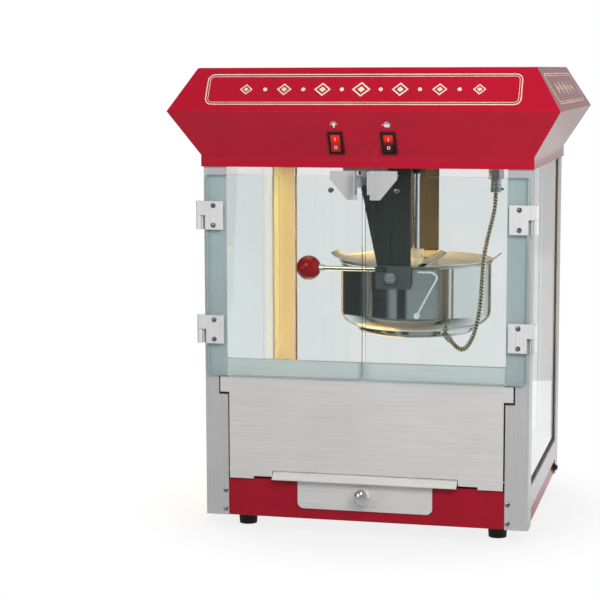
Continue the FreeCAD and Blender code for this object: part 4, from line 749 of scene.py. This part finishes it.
def add_screw(solid, tip, out, length, nut, turn):
    """A domed screw with a cross recess, and a nut if it has one; turn is the recess's angle."""
    side = out.orthogonal().normalized()
    up = out.cross(side)

    def ring(radius, depth, recess=False):
        """Points round the screw's axis, sunk where the recess is."""
        points = []
        for angle in turns(SCREW_SIDES):
            x, y = radius * math.cos(angle), radius * math.sin(angle)
            near, far = sorted((abs(x), abs(y)))
            inside = recess and near < CROSS_WIDE / 2 and far < CROSS_REACH
            sink = CROSS_DEEP * (1 - far / CROSS_REACH * CROSS_SHARE) if inside else 0
            x, y = x * math.cos(turn) - y * math.sin(turn), x * math.sin(turn) + y * math.cos(turn)
            points.append(solid.verts.new(tip + side * x + up * y - out * (depth + sink)))
        return points

    shares = [number / HEAD_RINGS for number in range(1, HEAD_RINGS + 1)]
    rings = [ring(HEAD_R * share, DOME_SHARE * HEAD_H * share ** 2, True) for share in shares]
    rings += [ring(HEAD_R, HEAD_H), ring(SHANK_R, HEAD_H)]
    if nut:
        rings += [ring(SHANK_R, length - NUT_H), ring(NUT_R, length - NUT_H), ring(NUT_R, length)]
    else:
        rings += [ring(SHANK_R, length - SHANK_TIP), ring(TIP_SHARE * SHANK_R, length)]
    bands(solid, rings)
    bottom = solid.verts.new(tip - out * CROSS_DEEP)
    for k in range(SCREW_SIDES):
        solid.faces.new((bottom, rings[0][k], rings[0][(k + 1) % SCREW_SIDES]))
    solid.faces.new(rings[-1])


def screw_set(solid, name):
    """All the screws of a built node."""
    for number, points in enumerate(islands(name)):
        add_screw(solid, *screw_pose(points), turn=FIRST_TURN + NEXT_TURN * number)


def add_screws():
    """Domed cross-head screws in place of the plain built ones."""
    for name, body in SCREW_SETS.items():
        made = placed(name.replace("screws", "screw_set"), partial(screw_set, name=name), "screw_steel",
                      SMALL_SMOOTH)
        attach(made, body)
        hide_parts(name)


def slim_seal(solid, points):
    """A slim frame round the opening of a wide built seal."""
    low, high = corners_of(points)
    across = min(range(3), key=lambda i: high[i] - low[i])
    flat = [i for i in range(3) if i != across]
    inner = [p for p in points if all(low[i] + BEAD / 4 < p[i] < high[i] - BEAD / 4 for i in flat)]
    start, end = corners_of(inner)
    wide_start = [max(start[i] - BEAD, low[i]) for i in range(3)]
    wide_end = [min(end[i] + BEAD, high[i]) for i in range(3)]
    u, v = flat
    rings = []
    for first, last in ((start, end), (wide_start, wide_end)):
        for depth in (low[across], high[across]):
            ring = []
            for corner_u, corner_v in ((first, first), (last, first), (last, last), (first, last)):
                at = Vector((0, 0, 0))
                at[across], at[u], at[v] = depth, corner_u[u], corner_v[v]
                ring.append(solid.verts.new(at))
            rings.append(ring)
    inner_low, inner_high, outer_low, outer_high = rings
    bands(solid, [inner_low, inner_high, outer_high, outer_low, inner_low])


def slit_shade_strip(solid, side):
    """A dark strip behind the slit at the left (-1) or right (1) of the front panel: painted shade in the
    slit.
    """
    middle = [(low + high) / 2 for low, high in SLIT_SHADE_STRIP]
    middle[0] *= side
    size = [high - low for low, high in SLIT_SHADE_STRIP]
    place = Matrix.Translation(middle) @ Matrix.Diagonal((*size, 1))
    bmesh.ops.create_cube(solid, size=1, matrix=place)


def add_beads_and_slit_shade():
    """Slim seals along the glass's edges, in place of wide ones, and dark strips behind the slits as painted
    shade.
    """
    def build(solid):
        for points in islands("glazing_seals"):
            slim_seal(solid, points)
        # Dark strips behind the panel's slits: painted shade
        for side in (-1, 1):
            slit_shade_strip(solid, side)

    made = placed("glazing_beads_and_slit_shade", build, "seal")
    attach(made, "cabinet")
    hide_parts("glazing_seals")


def add_ferrule():
    """Bright collar where the handle rod enters its ball."""
    low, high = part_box("handle_knob")
    centre = (Vector(low) + Vector(high)) / 2

    def build(solid):
        rings = []
        for away, radius in FERRULE:
            points = [(away, radius * math.cos(a), radius * math.sin(a)) for a in turns(FERRULE_SIDES)]
            rings.append([solid.verts.new(centre + Vector(point)) for point in points])
        bands(solid, rings + rings[:1])

    made = placed("handle_ferrule", build, "chrome", SMALL_SMOOTH)
    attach(made, "kettle")


# Print: flat shapes on a plane, as (along, up) points

Plane = namedtuple("Plane", "at along up out")


def plane_on(at, along, up):
    """A plane through a point, with two directions on it and the way it faces."""
    along, up = Vector(along).normalized(), Vector(up).normalized()
    return Plane(Vector(at), along, up, along.cross(up))


def oval(u, v, wide, tall, count=OVAL_STEPS):
    """An oval round a point."""
    return [(u + wide / 2 * math.cos(a), v + tall / 2 * math.sin(a)) for a in turns(count)]


def lozenge(u, wide, tall):
    """A lozenge round a point on the plane's middle line."""
    return [(u - wide / 2, 0), (u, -tall / 2), (u + wide / 2, 0), (u, tall / 2)]


def tablet(u, v, wide, tall, radius, count=CORNER_STEPS):
    """A rectangle with round corners."""
    points = []
    for quarter, (side, rise) in enumerate(((1, 1), (-1, 1), (-1, -1), (1, -1))):
        for k in range(count + 1):
            angle = math.pi / 2 * (quarter + k / count)
            points.append((u + side * (wide / 2 - radius) + radius * math.cos(angle),
                           v + rise * (tall / 2 - radius) + radius * math.sin(angle)))
    return points


def printed(solid, plane, loop, hole=None):
    """A thin print: the inside of a loop, or the band between it and a hole with as many points."""
    def points(ring, height):
        """A ring on the plane, raised by a height."""
        raised = plane.out * height
        return [solid.verts.new(plane.at + plane.along * u + plane.up * v + raised) for u, v in ring]

    low, high = points(loop, PRINT_SUNK), points(loop, PRINT_RISE)
    band(solid, low, high)
    if hole is None:
        solid.faces.new(low)
        solid.faces.new(high)
        return
    hole_low, hole_high = points(hole, PRINT_SUNK), points(hole, PRINT_RISE)
    band(solid, hole_low, hole_high)
    band(solid, low, hole_low)
    band(solid, high, hole_high)


def canopy_plane(lower, upper, front):
    """The middle of a sloping canopy face between two folds; front is the way it looks, as (x, y)."""
    x, y = front
    reach = 0 if x else 1
    away = Vector((x, y, 0))
    low = away * lower[reach] + Vector((0, 0, lower[2]))
    high = away * upper[reach] + Vector((0, 0, upper[2]))
    return plane_on((low + high) / 2, Vector((-y, x, 0)), high - low)


def trim(solid, plane, width, marks):
    """Pinstripes round a row of lozenges and dots."""
    for stripe in TRIM_STRIPES:
        printed(solid, plane, *(tablet(0, 0, width - less, tall, corner) for less, tall, corner in stripe))
    for number in range(marks):
        place = number - marks // 2
        u = place * TRIM_PITCH
        if place % 2:
            printed(solid, plane, oval(u, 0, TRIM_DOT, TRIM_DOT))
            continue
        size = 1 - TRIM_SHRINK * abs(place)
        outer, inner, core = (lozenge(u, wide * size, tall * size)
                              for wide, tall in (LOZENGE_OUTER, LOZENGE_INNER, LOZENGE_CORE))
        printed(solid, plane, outer, inner)
        printed(solid, plane, core)


def add_canopy_trim():
    """Cream trim on the canopy's upper front and sides."""
    for side, (front, width, marks) in TRIM_FACES.items():
        build = partial(trim, plane=canopy_plane(RIDGE, ROOF, front), width=width, marks=marks)
        made = placed(f"canopy_trim_{side}", build, "cream_print")
        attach(made, "cabinet")


def bulb_sign(solid, plane, u, v):
    """A lamp bulb with rays."""
    centre = v + BULB_RISE
    printed(solid, plane, oval(u, centre, *BULB_SIZE))
    for rise, wide, tall, corner in BULB_CAPS:
        printed(solid, plane, tablet(u, v + rise, wide, tall, corner, SMALL_STEPS))
    for angle in RAY_ANGLES:
        ray = Vector((math.cos(math.radians(angle)), math.sin(math.radians(angle))))
        across = Vector((-ray.y, ray.x)) * RAY_HALF
        near, far = ray * RAY_NEAR, ray * RAY_FAR
        corners = [near - across, far - across, far + across, near + across]
        printed(solid, plane, [(u + c.x, centre + c.y) for c in corners])


def kettle_sign(solid, plane, u, v):
    """A kettle with a handle and three dots above it."""
    printed(solid, plane, [(u + x, v + y) for x, y in BOWL])
    for x, y, wide in BOWL_BARS:
        printed(solid, plane, tablet(u + x, v + y, wide, BAR_TALL, SIGN_CORNER, SMALL_STEPS))
    for x, y in STEAM_DOTS:
        printed(solid, plane, oval(u + x, v + y, STEAM_DOT, STEAM_DOT, DOT_STEPS))


def rocker_half(slope, x, end):
    """The plane of a rocker's face towards its upper (1) or lower (-1) end."""
    up = slope.up * math.cos(ROCKER_TILT) + slope.out * math.sin(ROCKER_TILT)
    out = slope.out * math.cos(ROCKER_TILT) - slope.up * math.sin(ROCKER_TILT)
    half, top = ROCKER_END
    rise = top - ROCKER_VALLEY
    pivot = Vector((x, *ROCKER_PIVOT))
    middle = pivot + up * end * half / 2 + out * (ROCKER_VALLEY + rise / 2)
    return plane_on(middle, (1, 0, 0), up * half + out * rise * end)


def rocker_marks(solid, slope, x):
    """A stroke for on and a ring for off."""
    outer, inner = OFF_RING
    printed(solid, rocker_half(slope, x, 1), tablet(0, 0, *ON_STROKE, SIGN_CORNER, SMALL_STEPS))
    printed(solid, rocker_half(slope, x, -1), oval(0, 0, outer, outer), oval(0, 0, inner, inner))


def add_switch_signs():
    """A sign over each switch, and on and off marks on the rockers."""
    slope = canopy_plane(SKIRT, RIDGE, (0, -1))

    def build_signs(solid):
        bulb_sign(solid, slope, SWITCHES["light"], SIGN_RISE)
        kettle_sign(solid, slope, SWITCHES["kettle"], SIGN_RISE)

    signs = placed("switch_signs", build_signs, "white_print")
    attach(signs, "cabinet")
    for switch, x in SWITCHES.items():
        build = partial(rocker_marks, slope=slope, x=x)
        marks = placed(f"{switch}_rocker_marks", build, "white_print")
        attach(marks, f"{switch}_rocker")


# Stage

def add_camera():
    """The photograph's camera."""
    data = bpy.data.cameras.new("camera")
    data.lens = CAMERA_LENS
    data.sensor_width = CAMERA_SENSOR
    camera = in_scene("camera", data)
    yaw, pitch, roll = (math.radians(a) for a in (CAMERA_YAW, CAMERA_PITCH, CAMERA_ROLL))
    turn = Euler((math.pi / 2 + pitch, 0, yaw)).to_matrix() @ Matrix.Rotation(roll, 3, "Z")
    camera.matrix_world = Matrix.Translation(CAMERA_AT) @ turn.to_4x4()
    bpy.context.scene.camera = camera


def room_ramp(tree, turn, stops):
    """Brightness of the mirrored room round about."""
    ramp = node(tree, "ShaderNodeValToRGB", {"Fac": turn})
    elements = ramp.color_ramp.elements
    while len(elements) < len(stops):
        elements.new(0.5)
    for element, (degrees, level) in zip(elements, stops):
        element.position = (degrees + 180) / 360
        element.color = (level, level, level, 1)
    return ramp.outputs["Color"]


def add_world():
    """White to look at, an even light on everything, and a room for metal and gloss to mirror."""
    world = bpy.data.worlds.new("studio")
    bpy.context.scene.world = world
    world.use_nodes = True
    tree = world.node_tree
    even = tree.nodes["Background"]
    dress(tree, even, Color=(*WHITE, 1), Strength=EVEN_LIGHT)
    toward = node(tree, "ShaderNodeTexCoord").outputs["Generated"]
    parts = node(tree, "ShaderNodeSeparateXYZ", {0: toward}).outputs
    azimuth = math_node(tree, "ARCTAN2", parts["X"], math_node(tree, "MULTIPLY", parts["Y"], -1.0))
    turn = spread(tree, azimuth, 0, 1, start=-math.pi, end=math.pi)
    low = spread(tree, parts["Z"], 1, 0, *ROOM_EDGE)
    room = tint(tree, low, room_ramp(tree, turn, ROOM_HIGH), room_ramp(tree, turn, ROOM_LOW))
    upward = spread(tree, parts["Z"], 1.0, ROOM_DIM, *ROOM_DIMS)
    mirrored = node(tree, "ShaderNodeBackground", {"Color": room, "Strength": upward})
    white = node(tree, "ShaderNodeBackground", {"Color": (*WHITE, 1), "Strength": 1.0})
    gloss = mix_shaders(tree, any_ray(tree, "Is Glossy Ray"), even, mirrored)
    final = mix_shaders(tree, any_ray(tree, "Is Camera Ray", "Is Transmission Ray"), gloss, white)
    dress(tree, tree.nodes["World Output"], Surface=final.outputs[0])


def floor_white():
    """Pale floor that reads as white, keeps a soft shadow and mirrors as a dim table in front."""
    material, tree, shader = tree_of("floor_white")
    cloud = spread(tree, grain(tree, scale=3), 0, 1)
    dress(tree, shader, Base_Color=tint(tree, cloud, *FLOOR_GREYS), Roughness=0.7)
    where = own_place(tree)
    far = node(tree, "ShaderNodeVectorMath", {0: where}, operation="LENGTH").outputs["Value"]
    depth = node(tree, "ShaderNodeSeparateXYZ", {0: where}).outputs["Y"]
    seen = any_ray(tree, "Is Camera Ray", "Is Transmission Ray")
    glow = node(tree, "ShaderNodeEmission", {"Color": (*WHITE, 1), "Strength": 1.0})
    share = math_node(tree, "MULTIPLY", seen, spread(tree, far, FLOOR_SHARE, 1.0, *FLOOR_FADE))
    table = node(tree, "ShaderNodeEmission", {"Strength": spread(tree, depth, TABLE_DIM, 1.0, *TABLE_FADE)})
    mirrored = math_node(tree, "SUBTRACT", any_ray(tree, "Is Glossy Ray"), seen)
    final = mix_shaders(tree, mirrored, mix_shaders(tree, share, shader, glow), table)
    dress(tree, tree.nodes["Material Output"], Surface=final.outputs[0])
    return material


def add_floor():
    """A round floor under the object."""
    def build(solid):
        bmesh.ops.create_circle(solid, cap_ends=True, segments=FLOOR_SIDES, radius=FLOOR_R)

    floor = in_scene("floor", mesh_of("floor", build))
    floor.data.materials.append(floor_white())


def add_lights():
    """Soft square lamps: five in the studio and three warm ones in the cabinet."""
    for name, (at, aim, size, watts, colour, unseen) in LAMPS.items():
        data = bpy.data.lights.new(name, "AREA")
        data.size = size
        data.energy = watts
        data.color = colour
        if name in NARROW_LAMPS:
            data.spread = math.radians(NARROW_LAMPS[name])
        lamp = in_scene(name, data)
        lamp.location = at
        lamp.rotation_euler = (Vector(aim) - Vector(at)).to_track_quat("-Z", "Y").to_euler()
        for kind in unseen:
            setattr(lamp, f"visible_{kind}", False)


bpy.context.scene.view_settings.view_transform = "Standard"
finish_nodes()
add_camera()
add_conduit()
add_screws()
add_beads_and_slit_shade()
add_ferrule()
add_canopy_trim()
add_switch_signs()
add_world()
add_floor()
add_lights()
